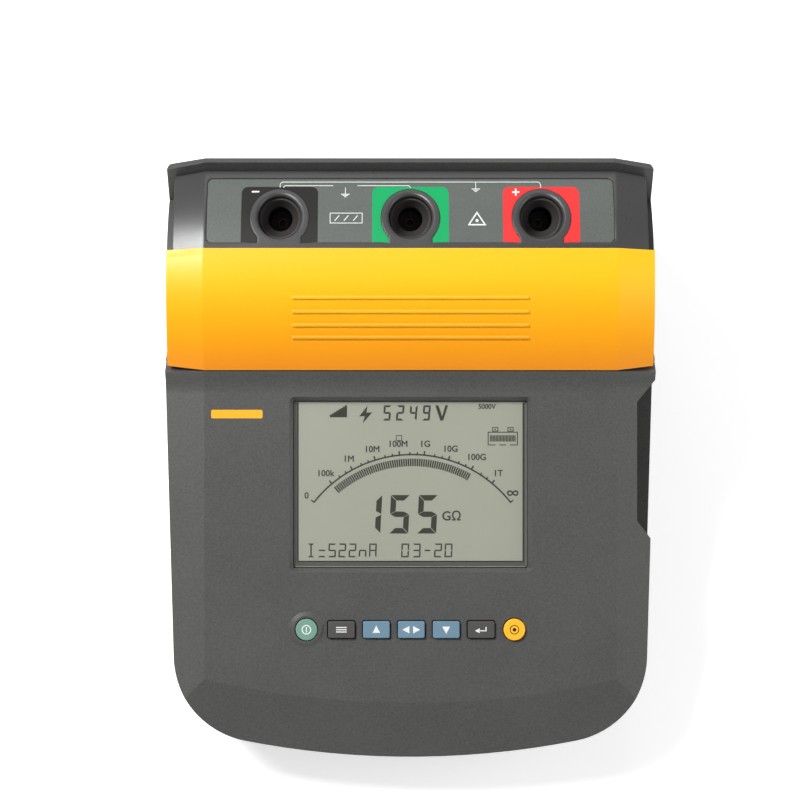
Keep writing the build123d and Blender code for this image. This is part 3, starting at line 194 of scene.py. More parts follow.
class Surface:
    """A material under construction: one Principled shader and the nodes that feed it."""

    def __init__(self, name, metallic=0.0, **sockets):
        self.material = bpy.data.materials.new(name)
        self.material.use_nodes = True
        self.tree = self.material.node_tree
        self.tree.nodes.clear()
        self.output = self.tree.nodes.new("ShaderNodeOutputMaterial")
        self.shader = self.tree.nodes.new("ShaderNodeBsdfPrincipled")
        self.join(self.shader.outputs["BSDF"], self.output.inputs["Surface"])
        self.shader.inputs["Metallic"].default_value = metallic
        for socket, value in sockets.items():
            self.shader.inputs[socket.replace("_", " ")].default_value = value
        self.place = self.tree.nodes.new("ShaderNodeTexCoord").outputs["Object"]

    def join(self, source, target):
        """Link from an output to an input."""
        self.tree.links.new(source, target)

    def add(self, kind, links=None, properties=None, **values):
        """A node with its sockets set by values and links, and its properties."""
        made = self.tree.nodes.new(kind)
        for key, value in (properties or {}).items():
            setattr(made, key, value)
        for key, value in values.items():
            made.inputs[key.replace("_", " ")].default_value = value
        for key, source in (links or {}).items():
            self.join(source, made.inputs[key])
        return made

    def noise(self, scale, detail=2.0, roughness=0.5, stretch=None):
        """Noise in cells of about 1/scale metres."""
        source = self.place
        if stretch:
            mapping = self.add("ShaderNodeMapping", {"Vector": source}, Scale=stretch)
            source = mapping.outputs["Vector"]
        made = self.add("ShaderNodeTexNoise", {"Vector": source},
                        Scale=scale, Detail=detail, Roughness=roughness)
        return made.outputs[0]

    def cells(self, scale, feature="F1", randomness=1.0):
        """Distances in Voronoi cells of about 1/scale metres."""
        made = self.add("ShaderNodeTexVoronoi", {"Vector": self.place}, {"feature": feature},
                        Scale=scale, Randomness=randomness)
        return made.outputs["Distance"]

    def ranged(self, value, low, high, to_low=0.0, to_high=1.0):
        """Value moved from one range to another and held inside it."""
        made = self.add("ShaderNodeMapRange", {"Value": value},
                        From_Min=low, From_Max=high, To_Min=to_low, To_Max=to_high)
        return made.outputs["Result"]

    def math(self, operation, first, second):
        """Result of a Math node; each side is a number or another node's output."""
        made = self.add("ShaderNodeMath", None, {"operation": operation})
        for socket, value in zip(made.inputs, (first, second)):
            if isinstance(value, (int, float)):
                socket.default_value = value
            else:
                self.join(value, socket)
        return made.outputs[0]

    def times(self, first, second):
        """Product of two values."""
        return self.math("MULTIPLY", first, second)

    def mix(self, factor, first, second):
        """Mixed colour; each side is a colour or another node's output."""
        made = self.add("ShaderNodeMix", {"Factor": factor}, {"data_type": "RGBA"})
        for index, value in ((6, first), (7, second)):
            if isinstance(value, tuple):
                made.inputs[index].default_value = value
            else:
                self.join(value, made.inputs[index])
        return made.outputs[2]

    def edges(self, radius):
        """Rounded normal near edges, and a mask that is 1 on the very edge."""
        bevel = self.add("ShaderNodeBevel", None, {"samples": 6}, Radius=radius)
        geometry = self.tree.nodes.new("ShaderNodeNewGeometry")
        dot = self.add("ShaderNodeVectorMath", None, {"operation": "DOT_PRODUCT"})
        self.join(bevel.outputs["Normal"], dot.inputs[0])
        self.join(geometry.outputs["Normal"], dot.inputs[1])
        mask = self.ranged(dot.outputs["Value"], 0.985, 0.86)
        return bevel.outputs["Normal"], mask

    def bump(self, height, distance, strength, normal=None):
        """Normal that follows a height, on top of another normal if one is given."""
        made = self.add("ShaderNodeBump", {"Height": height}, Strength=strength, Distance=distance)
        if normal is not None:
            self.join(normal, made.inputs["Normal"])
        return made.outputs["Normal"]

    def finish(self, colour, roughness, normal):
        """The material, once its shader has its colour, roughness and normal."""
        for name, source in (("Base Color", colour), ("Roughness", roughness), ("Normal", normal)):
            self.join(source, self.shader.inputs[name])
        return self.material


def moulded(name, colour, grain=1500.0, speckle=0.16, mottle=0.08, roughness=0.55, depth=0.00006,
            edge=0.0004, edge_light=1.5, **sockets):
    """Spark-eroded plastic: fine grain, faint mottling, and edges lightened partly as rubbed wear and partly
    as a painted highlight.
    """
    made = Surface(name, **sockets)
    fine = made.noise(grain, 3.0, 0.6)
    broad = made.noise(28.0, 3.0, 0.55)
    normal, rim = made.edges(edge)
    speck = made.mix(made.ranged(fine, 0.3, 0.7), scaled(colour, 1 - speckle), scaled(colour, 1 + speckle))
    shade = made.mix(made.times(made.ranged(broad, 0.3, 0.7), mottle), speck, scaled(colour, 1.6))
    # Edges lightened by edge_light: partly rubbed wear, partly a painted highlight along every edge.
    worn_and_highlit_edge = made.times(rim, made.ranged(made.noise(220.0, 3.0), 0.35, 0.65, 0.15, 0.6))
    tone = made.mix(worn_and_highlit_edge, shade, scaled(colour, edge_light))
    rough = made.ranged(made.math("ADD", fine, broad), 0.7, 1.3, roughness - 0.05, roughness + 0.07)
    return made.finish(tone, rough, made.bump(fine, depth, 0.5, normal))


def cover_yellow():
    """Yellow moulding with painted shade that deepens its tone towards its lower edge, and edges lightened
    by hairline scuffs and a painted highlight.
    """
    made = Surface("cover_yellow", Subsurface_Weight=0.04, Subsurface_Scale=0.002)
    fine = made.noise(1300.0, 3.0, 0.6)
    broad = made.noise(16.0, 2.0)
    normal, rim = made.edges(0.0007)
    # Painted shade: the colour runs from orange at the cover's lower edge to yellow higher up, by height up
    # the panel.
    height = made.add("ShaderNodeVectorMath", {"Vector": made.place}, {"operation": "DOT_PRODUCT"})
    height.inputs[1].default_value = UP
    zero = CORNER.dot(UP)
    painted_shade_by_height = made.ranged(height.outputs["Value"], zero + 190 * MM, zero + 236 * MM)
    colour = made.mix(painted_shade_by_height, srgb(241, 142, 0), srgb(255, 192, 0))
    speck = made.mix(made.times(made.ranged(fine, 0.3, 0.7), 0.06), colour, srgb(190, 120, 0))
    shade = made.mix(made.times(made.ranged(broad, 0.35, 0.65), 0.10), speck, srgb(255, 168, 0))
    scuff = made.ranged(made.noise(90.0, 4.0, 0.6, (0.15, 1.0, 1.0)), 0.62, 0.75)
    # Edges and ribs lightened towards pale yellow: hairline scuffs, and a painted highlight along them.
    worn_and_highlit_edge = made.times(rim, made.ranged(scuff, 0.0, 1.0, 0.5, 0.8))
    tone = made.mix(worn_and_highlit_edge, shade, srgb(255, 220, 80))
    rough = made.ranged(made.math("ADD", fine, scuff), 0.3, 1.4, 0.36, 0.48)
    return made.finish(tone, rough, made.bump(fine, 0.00004, 0.3, normal))


def label_film():
    """Satin grey-green overlay film with a fine dotted tint."""
    made = Surface("label_film", Coat_Weight=0.25, Coat_Roughness=0.25)
    dots = made.noise(3600.0, 1.0, 0.4)
    cloud = made.noise(120.0, 3.0)
    speck = made.mix(made.ranged(dots, 0.42, 0.58), srgb(72, 77, 74), srgb(93, 99, 95))
    tone = made.mix(made.times(cloud, 0.25), speck, srgb(84, 91, 86))
    normal = made.edges(0.0001)[0]
    rough = made.ranged(cloud, 0.3, 0.7, 0.42, 0.55)
    return made.finish(tone, rough, made.bump(dots, 0.000006, 0.3, normal))


def ink(name, colour, roughness=0.45):
    """Screen-printed ink: faint mesh marks and uneven cover."""
    made = Surface(name, Specular_IOR_Level=0.3)
    weave = made.noise(3200.0, 2.0)
    cover = made.noise(90.0, 3.0)
    tone = made.mix(made.ranged(weave, 0.4, 0.6, 0.0, 0.5), scaled(colour, 0.94), scaled(colour, 1.06))
    tone = made.mix(made.ranged(cover, 0.4, 0.7, 0.0, 0.25), tone, scaled(colour, 1.1))
    return made.finish(tone, made.ranged(weave, 0.3, 0.7, roughness - 0.06, roughness + 0.08),
                       made.bump(weave, 0.00001, 0.3))


def window_clear():
    """Hard-coated acrylic: clear, with a faint mirror and hairline scratches."""
    made = Surface("window_clear")
    made.tree.nodes.remove(made.shader)
    clear = made.add("ShaderNodeBsdfTransparent", None, None, Color=(0.97, 0.98, 0.97, 1.0))
    scratch = made.ranged(made.noise(900.0, 4.0, 0.7, (0.03, 1.0, 1.0)), 0.66, 0.72, 0.03, 0.16)
    mirror = made.add("ShaderNodeBsdfAnisotropic", {"Roughness": scratch}, None, Color=WHITE)
    grazing = made.add("ShaderNodeLayerWeight", None, None, Blend=0.5).outputs["Facing"]
    gloss = made.ranged(made.math("POWER", grazing, 5.0), 0.0, 1.0, 0.035, 0.9)
    mixed = made.add("ShaderNodeMixShader", {"Fac": gloss})
    made.join(clear.outputs[0], mixed.inputs[1])
    made.join(mirror.outputs[0], mixed.inputs[2])
    made.join(mixed.outputs[0], made.output.inputs["Surface"])
    return made.material


def lcd_glass():
    """Reflective liquid crystal cell: grey-green, finely grained and a little cloudy."""
    made = Surface("lcd_glass", Coat_Weight=0.4, Coat_Roughness=0.12)
    grain = made.noise(2400.0, 2.0, 0.6)
    cloud = made.noise(14.0, 2.0)
    speck = made.mix(made.ranged(grain, 0.3, 0.7), srgb(165, 164, 151), srgb(172, 171, 159))
    tone = made.mix(made.times(made.ranged(cloud, 0.35, 0.65), 0.5), speck, srgb(176, 174, 164))
    return made.finish(tone, made.ranged(grain, 0.3, 0.7, 0.35, 0.5), made.bump(grain, 0.00001, 0.2))


def rubber(name, colour):
    """Dull elastomer with bloom and dust in its grain."""
    made = Surface(name, Specular_IOR_Level=0.3)
    grain = made.noise(900.0, 4.0, 0.7)
    bloom = made.noise(60.0, 3.0)
    normal, rim = made.edges(0.0003)
    tone = made.mix(made.ranged(bloom, 0.4, 0.7, 0.0, 0.35), colour, scaled(colour, 2.2))
    tone = made.mix(made.times(rim, 0.3), tone, scaled(colour, 2.5))
    return made.finish(tone, made.ranged(grain, 0.3, 0.7, 0.7, 0.9), made.bump(grain, 0.00008, 0.5, normal))


def metal(name, colour, roughness, stretch=(1.0, 1.0, 12.0)):
    """Drawn or turned metal: fine directional tool marks and a little tarnish."""
    made = Surface(name, metallic=1.0)
    marks = made.noise(700.0, 3.0, 0.6, stretch)
    stain = made.noise(180.0, 4.0, 0.6)
    normal = made.edges(0.00015)[0]
    tone = made.mix(made.ranged(stain, 0.45, 0.75, 0.0, 0.25), colour, scaled(colour, 0.45))
    rough = made.ranged(marks, 0.3, 0.7, roughness - 0.08, roughness + 0.14)
    return made.finish(tone, rough, made.bump(marks, 0.00003, 0.5, normal))


def board_green():
    """Solder mask over copper: pale tracks between fields, tinned specks."""
    made = Surface("board_green", Coat_Weight=0.3, Coat_Roughness=0.2)
    tracks = made.ranged(made.cells(260.0, "DISTANCE_TO_EDGE", 0.35), 0.06, 0.09)
    pads = made.ranged(made.cells(420.0), 0.16, 0.13)
    mask = made.mix(tracks, srgb(46, 118, 66), srgb(24, 84, 46))
    tone = made.mix(made.times(pads, 0.8), mask, srgb(196, 190, 170))
    return made.finish(tone, made.ranged(made.noise(500.0), 0.3, 0.7, 0.3, 0.45),
                       made.bump(tracks, 0.00004, 0.5))


def wound(name, colour, pitch=900.0):
    """Taped winding or sleeved part: even ribs across it."""
    made = Surface(name)
    ribs = made.add("ShaderNodeTexWave", {"Vector": made.place}, None, Scale=pitch, Distortion=0.6)
    cloud = made.noise(150.0, 3.0)
    tone = made.mix(made.times(ribs.outputs["Fac"], 0.5), colour, scaled(colour, 0.6))
    normal = made.edges(0.0003)[0]
    return made.finish(made.mix(made.times(cloud, 0.3), tone, scaled(colour, 1.3)),
                       made.ranged(cloud, 0.3, 0.7, 0.4, 0.6),
                       made.bump(ribs.outputs["Fac"], 0.00006, 0.5, normal))


def floor_acrylic():
    """White light table: matt acrylic that glows faintly from below."""
    made = Surface("floor_acrylic", Specular_IOR_Level=0.2, Emission_Color=WHITE, Emission_Strength=0.6)
    grain = made.noise(700.0, 3.0)
    tone = made.mix(made.ranged(grain, 0.3, 0.7), (0.86, 0.86, 0.86, 1.0), (0.89, 0.89, 0.89, 1.0))
    return made.finish(tone, made.ranged(grain, 0.3, 0.7, 0.75, 0.9), made.bump(grain, 0.00005, 0.2))


GREY = srgb(73, 73, 72)
CHARCOAL = srgb(66, 65, 63)
materials = {
    "case_grey": moulded("case_grey", GREY, 1150.0, 0.22, roughness=0.47),
    "tub_grey": moulded("tub_grey", CHARCOAL, 1200.0),
    "deck_grey": moulded("deck_grey", srgb(64, 64, 64), 1800.0, 0.08, 0.05, 0.32, 0.00003, 0.0012),
    "cover_yellow": cover_yellow(),
    "pin_nylon": moulded("pin_nylon", srgb(196, 190, 176), 900.0, 0.05, 0.05, 0.4),
    "label_film": label_film(),
    "seal_rubber": rubber("seal_rubber", srgb(38, 37, 36)),
    "socket_plastic": moulded("socket_plastic", srgb(58, 55, 54), 1500.0, 0.08, 0.05, 0.4, 0.00003),
    "contact_brass": metal("contact_brass", srgb(96, 86, 70), 0.4),
    "window_clear": window_clear(),
    "lcd_glass": lcd_glass(),
    "backlight_white": moulded("backlight_white", srgb(226, 228, 222), 700.0, 0.03, 0.03, 0.5),
    "frame_black": moulded("frame_black", srgb(34, 34, 34), 1100.0, 0.1, 0.04, 0.5),
    "surround_grey": moulded("surround_grey", srgb(84, 83, 81), 1500.0, 0.08, 0.05, 0.5),
    "board_green": board_green(),
    "steel": metal("steel", srgb(190, 188, 184), 0.32),
    "ferrite": moulded("ferrite", srgb(52, 50, 50), 800.0, 0.15, 0.1, 0.45),
    "film_blue": wound("film_blue", srgb(58, 88, 150)),
    "sink_aluminium": metal("sink_aluminium", srgb(176, 178, 180), 0.38, (12.0, 1.0, 1.0)),
    "battery_case": moulded("battery_case", srgb(60, 62, 66), 900.0, 0.06, 0.06, 0.45),
    "lead_red": wound("lead_red", srgb(168, 36, 30), 1600.0),
    "lead_black": wound("lead_black", srgb(40, 40, 42), 1600.0),
    "lead_brown": wound("lead_brown", srgb(96, 60, 38), 1600.0),
    "tape_amber": wound("tape_amber", srgb(206, 160, 52)),
    "relay_black": moulded("relay_black", srgb(44, 44, 48), 1000.0, 0.08, 0.06, 0.35),
    "infrared_red": moulded("infrared_red", srgb(72, 14, 18), 600.0, 0.05, 0.05, 0.12,
                            Transmission_Weight=0.25, IOR=1.5),
    "key_green": moulded("key_green", srgb(109, 149, 133), 1500.0, 0.05, 0.04, 0.5, 0.00002, 0.0006, 1.15),
    "key_grey": moulded("key_grey", srgb(70, 69, 68), 1500.0, 0.06, 0.04, 0.5, 0.00002, 0.0006),
    "key_blue": moulded("key_blue", srgb(102, 132, 151), 1500.0, 0.05, 0.04, 0.5, 0.00002, 0.0006, 1.15),
    "key_amber": moulded("key_amber", srgb(255, 182, 36), 1500.0, 0.04, 0.04, 0.5, 0.00002, 0.0006, 1.1),
    "ink_white": ink("ink_white", srgb(226, 229, 226)),
    "ink_black": ink("ink_black", srgb(30, 28, 27)),
    "ink_green": ink("ink_green", srgb(0, 160, 92)),
    "ink_red": ink("ink_red", srgb(222, 50, 50)),
    "ink_amber": ink("ink_amber", srgb(250, 176, 40)),
    "ink_lcd": ink("ink_lcd", srgb(62, 60, 55), 0.35),
}

NODE_MATERIALS = {
    "case_grey": ("top_case",),
    "tub_grey": ("bottom_case", "battery_door"),
    "deck_grey": ("terminal_deck",),
    "cover_yellow": ("terminal_cover",),
    "pin_nylon": ("cover_guide_pins", "charger_spacers"),
    "label_film": ("terminal_label",),
    "seal_rubber": ("case_seal", "keypad_seal", "rubber_feet", "battery_pad"),
    "socket_plastic": ("socket_negative", "socket_guard", "socket_positive", "mains_inlet"),
    "contact_brass": ("contact_negative", "contact_guard", "contact_positive", "contact_nuts",
                      "battery_terminals", "inlet_pins"),
    "window_clear": ("lcd_window",),
    "lcd_glass": ("lcd_panel",),
    "backlight_white": ("backlight",),
    "frame_black": ("lcd_frame", "board_headers", "buzzer", "key_switches"),
    "board_green": ("display_board", "main_board", "charger_board"),
    "steel": ("display_board_screws", "main_board_screws", "case_screws", "deck_screws",
              "battery_door_screws", "bracket_screws", "inlet_screws", "battery_bracket"),
    "ferrite": ("hv_transformer", "charger_transformer"),
    "film_blue": ("hv_capacitors",),
    "tape_amber": ("divider_resistors", "charger_components"),
    "relay_black": ("range_relays",),
    "sink_aluminium": ("heat_sink",),
    "battery_case": ("battery",),
    "lead_red": ("hv_leads",),
    "lead_black": ("battery_leads", "ribbon_cable"),
    "lead_brown": ("inlet_leads",),
    "infrared_red": ("infrared_window",),
    "key_green": ("key_power",),
    "key_grey": ("key_function", "key_enter"),
    "key_blue": ("key_up", "key_left_right", "key_down"),
    "key_amber": ("key_test",),
}


def dress(node, material):
    """Gives a CAD node one material in all its slots."""
    slots = nodes[node].data.materials
    slots.clear()
    slots.append(material)


for surface, members in NODE_MATERIALS.items():
    for member in members:
        dress(member, materials[surface])


# ---------------------------------------------------------------- printed shapes


def bar(start, end, width):
    """Loop of a straight stroke."""
    along = Vector(end) - Vector(start)
    across = Vector((-along.y, along.x)).normalized() * width / 2
    return [tuple(Vector(start) + across), tuple(Vector(start) - across),
            tuple(Vector(end) - across), tuple(Vector(end) + across)]


def block(x_low, x_high, v_low, v_high):
    """Loop of an upright rectangle."""
    return [(x_low, v_low), (x_high, v_low), (x_high, v_high), (x_low, v_high)]


def disc(centre, radius, steps=48):
    """Loop of a circle."""
    return [(centre[0] + radius * cos(2 * pi * step / steps),
             centre[1] + radius * sin(2 * pi * step / steps)) for step in range(steps)]


def sweep(centre, low, high, start, stop, steps):
    """Loop of a ring's sector, angles in degrees from upright, clockwise."""
    turns = [radians(start + (stop - start) * step / steps) for step in range(steps + 1)]
    outer = [(centre[0] + high * sin(turn), centre[1] + high * cos(turn)) for turn in turns]
    inner = [(centre[0] + low * sin(turn), centre[1] + low * cos(turn)) for turn in reversed(turns)]
    return outer + inner


def frame_loops(x_low, x_high, v_low, v_high, stroke):
    """Loops of a rectangle's outline."""
    return [block(x_low, x_high, v_low, v_high),
            block(x_low + stroke, x_high - stroke, v_low + stroke, v_high - stroke)]


def rounded(x_low, x_high, v_low, v_high, radius, corners=(True, True, True, True)):
    """Loop of a rectangle with rounded corners, named from the lower left, anticlockwise."""
    centres = ((x_low + radius, v_low + radius, 180), (x_high - radius, v_low + radius, 270),
               (x_high - radius, v_high - radius, 0), (x_low + radius, v_high - radius, 90))
    sharp = ((x_low, v_low), (x_high, v_low), (x_high, v_high), (x_low, v_high))
    loop = []
    for (x, v, start), keep, tip in zip(centres, corners, sharp):
        if keep:
            loop += [(x + radius * cos(radians(start + 15 * step)),
                      v + radius * sin(radians(start + 15 * step))) for step in range(7)]
        else:
            loop.append(tip)
    return loop


SEGMENTS = {
    "0": "abcdef", "1": "bc", "2": "abged", "3": "abgcd", "4": "fgbc", "5": "afgcd", "6": "afgecd",
    "7": "abc", "8": "abcdefg", "9": "abcdfg", "-": "g", "=": "gd", "A": "abcefg", "n": "ceg",
    "I": "adm",
}


def digit(sign, x, v, width, height, stroke, slant):
    """Loops of one seven-segment sign whose cell starts at x, v."""
    half, gap, centre = height / 2, stroke * 0.07, width / 2
    across = [(gap, 0), (width - gap, 0), (width - stroke - gap, stroke), (stroke + gap, stroke)]
    upright = [(0, gap), (stroke, stroke + gap), (stroke, half - stroke / 2 - gap), (0, half - gap)]
    bars = {
        "d": across,
        "a": [(a, height - b) for a, b in across],
        "g": [(gap, half), (stroke, half + stroke / 2), (width - stroke, half + stroke / 2),
              (width - gap, half), (width - stroke, half - stroke / 2), (stroke, half - stroke / 2)],
        "e": upright,
        "f": [(a, height - b) for a, b in upright],
        "c": [(width - a, b) for a, b in upright],
        "b": [(width - a, height - b) for a, b in upright],
        "m": block(centre - stroke / 2, centre + stroke / 2, stroke + gap, height - stroke - gap),
    }
    lean = tan(radians(slant))
    return [[(x + a + b * lean, v + b) for a, b in bars[name]] for name in SEGMENTS[sign]]


def reading(signs, x, v, width, height, stroke, pitch, slant):
    """One shape for each segment of a row of signs."""
    shapes = []
    for place, sign in enumerate(signs):
        shapes += [[loop] for loop in digit(sign, x + place * pitch, v, width, height, stroke, slant)]
    return shapes


def embolden(flat, amount):
    """Move the outline of flat mesh data outwards by the amount, so its strokes grow thicker."""
    mesh = bmesh.new()
    mesh.from_mesh(flat)
    bmesh.ops.remove_doubles(mesh, verts=mesh.verts, dist=WELD)
    shifts = []
    for vertex in mesh.verts:
        sides = []
        for edge in vertex.link_edges:
            if len(edge.link_faces) == 1:
                side = (edge.other_vert(vertex).co - vertex.co).normalized().cross(Vector((0, 0, 1)))
                inward = (edge.link_faces[0].calc_center_median() - vertex.co).dot(side)
                sides.append(-side if inward > 0 else side)
        if len(sides) == 2:
            first, second = sides
            shifts.append((vertex, (first + second) * amount / max(0.5, 1 + first.dot(second))))
    for vertex, shift in shifts:
        vertex.co += shift
    mesh.to_mesh(flat)
    mesh.free()


def lettered(sign, size, x, v):
    """Flat mesh data of a short text, centred at x, v."""
    curve = bpy.data.curves.new("lettering", "FONT")
    curve.body = sign
    curve.size = size
    curve.align_x = "CENTER"
    curve.align_y = "CENTER"
    curve.resolution_u = 3
    holder = bpy.data.objects.new("lettering", curve)
    bpy.context.scene.collection.objects.link(holder)
    bpy.context.view_layer.update()
    flat = bpy.data.meshes.new_from_object(holder.evaluated_get(bpy.context.evaluated_depsgraph_get()))
    bpy.data.objects.remove(holder)
    bpy.data.curves.remove(curve)
    embolden(flat, BOLD)
    flat.transform(Matrix.Translation((x, v, 0)))
    return flat


def on_panel(level):
    """Placing function for a print that stands on the flat plane at this height."""
    return lambda x, v, height: point(x, v, level + height)


def on_drum(x, v, height):
    """Placing function for a print on the curved terminal label."""
    turn = asin((v - DRUM_V) / label_radius)
    radius = label_radius + height
    return point(x, DRUM_V + radius * sin(turn), DRUM_W + radius * cos(turn))


def printed(name, body, material, place, shapes=(), texts=(), rows=(), depth=INK_DEPTH,
            offset=(0, 0)):
    """One closed thin piece out of flat shapes and texts, cut at rows so that it can follow a curve.

    Each shape is an outline and its holes.
    """
    mesh = bmesh.new()
    for loops in shapes:
        edges = []
        for loop in loops:
            corners = [mesh.verts.new((x, v, 0)) for x, v in loop]
            edges += [mesh.edges.new(pair) for pair in zip(corners, corners[1:] + corners[:1])]
        bmesh.ops.triangle_fill(mesh, use_beauty=True, edges=edges)
    for flat in texts:
        mesh.from_mesh(flat)
        bpy.data.meshes.remove(flat)
    bmesh.ops.remove_doubles(mesh, verts=mesh.verts, dist=WELD)
    for row in rows:
        everything = mesh.verts[:] + mesh.edges[:] + mesh.faces[:]
        bmesh.ops.bisect_plane(mesh, geom=everything, plane_co=(0, row, 0), plane_no=(0, 1, 0))
    rim = [edge for edge in mesh.edges if len(edge.link_faces) == 1]
    copied = bmesh.ops.duplicate(mesh, geom=mesh.verts[:] + mesh.edges[:] + mesh.faces[:])
    twin = copied["vert_map"]
    for vertex in copied["geom"]:
        if isinstance(vertex, bmesh.types.BMVert):
            vertex.co.z = depth
    for edge in rim:
        first, second = edge.verts
        mesh.faces.new((first, second, twin[second], twin[first]))
    bmesh.ops.recalc_face_normals(mesh, faces=mesh.faces[:])
    for vertex in mesh.verts:
        vertex.co = place(vertex.co.x + offset[0], vertex.co.y + offset[1], vertex.co.z)
    data = bpy.data.meshes.new(name)
    mesh.to_mesh(data)
    mesh.free()
    data.materials.append(materials[material])
    made = bpy.data.objects.new(name, data)
    bpy.context.scene.collection.objects.link(made)
    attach(made, body)


# ---------------------------------------------------------------- display


def scale_place(radius, angle):
    """Place at this distance and angle from the scale's centre."""
    turn = radians(angle)
    return (SCALE_CENTRE[0] + radius * sin(turn), SCALE_CENTRE[1] + radius * cos(turn))


def scale_tick(angle, tick):
    """Stroke across the scale; a tick holds its two ends beyond the arc and its width."""
    low, high, stroke = tick
    return [bar(scale_place(SCALE_RADIUS + low, angle), scale_place(SCALE_RADIUS + high, angle), stroke)]


def display_scale():
    """Resistance scale: arc, ticks, end strokes and the bar graph under it."""
    low, high = SCALE_RADIUS - ARC_STROKE / 2, SCALE_RADIUS + ARC_STROKE / 2
    shapes = [[sweep(SCALE_CENTRE, low, high, -SCALE_END, SCALE_END, ARC_STEPS)]]
    for end in (-SCALE_END, SCALE_END):
        shapes.append(scale_tick(end, END_TICK))
    majors = [SCALE_FIRST + SCALE_STEP * step for step in range(len(SCALE_NAMES))]
    for angle in majors:
        shapes.append(scale_tick(angle, MAJOR_TICK))
        if angle is not majors[-1]:
            for share in MINOR_SHARES:
                shapes.append(scale_tick(angle + share * SCALE_STEP, MINOR_TICK))
    step = (BAR_STOP - BAR_START) / BAR_COUNT
    for count in range(BAR_COUNT):
        start = BAR_START + count * step
        shapes.append([sweep(SCALE_CENTRE, BAR_LOW, BAR_HIGH, start, start + step * BAR_FILL, 1)])
    return shapes


def display_names():
    """Numbers along the scale, the unit and the range."""
    texts = [lettered(name, SCALE_TEXT, x, v) for name, x, v in SCALE_NAMES]
    texts += [lettered(*row) for row in DISPLAY_TEXTS]
    return texts


def display_readings():
    """Main, voltage, current and timer readings."""
    shapes = [[VOLT_SIGN]]
    for row in READINGS:
        shapes += reading(*row)
    return shapes


def level_wedge():
    """Level sign: a wedge of rising steps."""
    left, foot, width, top, growth = -39.6, 166.9, 1.06, 168.2, 0.66
    lows = [left + step * width for step in range(8)]
    return [[block(low, low + width, foot, top + step * growth)] for step, low in enumerate(lows)]


def battery_gauge():
    """Battery gauge: a box with a dashed foot, two poles on it and a row of bars in it."""
    left, right, foot, top, stroke, gap = 38.0, 52.8, 153.1, 159.8, 0.45, 0.05
    dash, dash_pitch = 3.4, 5.2
    shapes = [[block(left, left + stroke, foot, top)], [block(right - stroke, right, foot, top)],
              [block(left + stroke + gap, right - stroke - gap, top - stroke, top)]]
    for count in range(3):
        low = left + stroke + gap + count * dash_pitch
        shapes.append([block(low, low + dash, foot, foot + stroke)])
    for pole in (41.7, 49.2):
        shapes.append(frame_loops(pole - 1.5, pole + 1.5, 159.9, 162.1, 0.4))
        shapes.append([block(pole - 0.4, pole + 0.4, 160.7, 161.3)])
    first, width, pitch = 39.1, 0.5, 0.71
    for count in range(18):
        low = first + count * pitch
        shapes.append([block(low, low + width, 155.0, 158.1)])
    return shapes


def display_signs():
    """Level wedge, bolt, battery gauge and cursor."""
    cursor = frame_loops(-7.1, -4.1, 155.3, 158.1, 0.35)
    return level_wedge() + [[BOLT_SIGN]] + battery_gauge() + [cursor]


def display_border(gap, width):
    """Frame beside and below the viewing area, open at the top and a gap away from it."""
    (left, right), (low, high) = span("lcd_panel", ACROSS), span("lcd_panel", UP)
    top = high - BORDER_MARGIN
    inner_left, inner_right, inner_low = VIEW_LEFT - gap, VIEW_RIGHT + gap, VIEW_LOW - gap
    outer_left = max(left + BORDER_MARGIN, inner_left - width)
    outer_right = min(right - BORDER_MARGIN, inner_right + width)
    outer_low = max(low + BORDER_MARGIN, inner_low - width)
    return [[[(outer_left, outer_low), (outer_right, outer_low), (outer_right, top), (inner_right, top),
              (inner_right, inner_low), (inner_left, inner_low), (inner_left, top), (outer_left, top)]]]


on_glass = on_panel(span("lcd_panel", OUT)[1])
printed("lcd_scale", "case", "ink_lcd", on_glass, display_scale())
printed("lcd_names", "case", "ink_lcd", on_glass, (), display_names())
printed("lcd_readings", "case", "ink_lcd", on_glass, display_readings())
printed("lcd_signs", "case", "ink_lcd", on_glass, display_signs())
printed("lcd_mask", "case", "frame_black", on_glass, display_border(0, MASK_WIDTH))
printed("lcd_surround", "case", "surround_grey", on_glass,
        display_border(MASK_WIDTH, SURROUND_WIDTH))


# ---------------------------------------------------------------- terminal label

# Rows 1 mm apart at which a print is cut, so that it follows the label's curve.
LABEL_ROWS = [PATCH_LOW + count for count in range(1, 32)]
label_radius = drum_reach("terminal_label")


def socket_centre(name):
    """x and v of a measuring socket."""
    place = Vector(mounts["socket_" + name]["pos_m"]) - CORNER
    return (place.dot(ACROSS) / MM, place.dot(UP) / MM)


centres = {name: socket_centre(name) for name in ("negative", "guard", "positive")}


def patch_loops(centre):
    """Colour field round a socket, open round the socket's collar."""
    left, right = centre[0] - PATCH_WIDTH / 2, centre[0] + PATCH_WIDTH / 2
    outer = rounded(left, right, PATCH_LOW, PATCH_HIGH, PATCH_ROUNDING, (False, False, True, True))
    return [outer, disc(centre, RING_RADIUS)]


for name, colour in (("negative", "ink_black"), ("guard", "ink_green"), ("positive", "ink_red")):
    printed("label_patch_" + name, "case", colour, on_drum,
            [patch_loops(centres[name])], (), LABEL_ROWS)


def earth_sign(x, high):
    """Earth symbol hanging from a line: a stem and three shrinking bars."""
    stem, drop, pitch, stroke = 3.2, 3.4, 0.65, 0.38
    shapes = [[bar((x, high), (x, high - stem), LINE_STROKE)]]
    for count, half in enumerate((2.1, 1.3, 0.55)):
        level = high - drop - pitch * count
        shapes.append([bar((x - half, level), (x + half, level), stroke)])
    return shapes


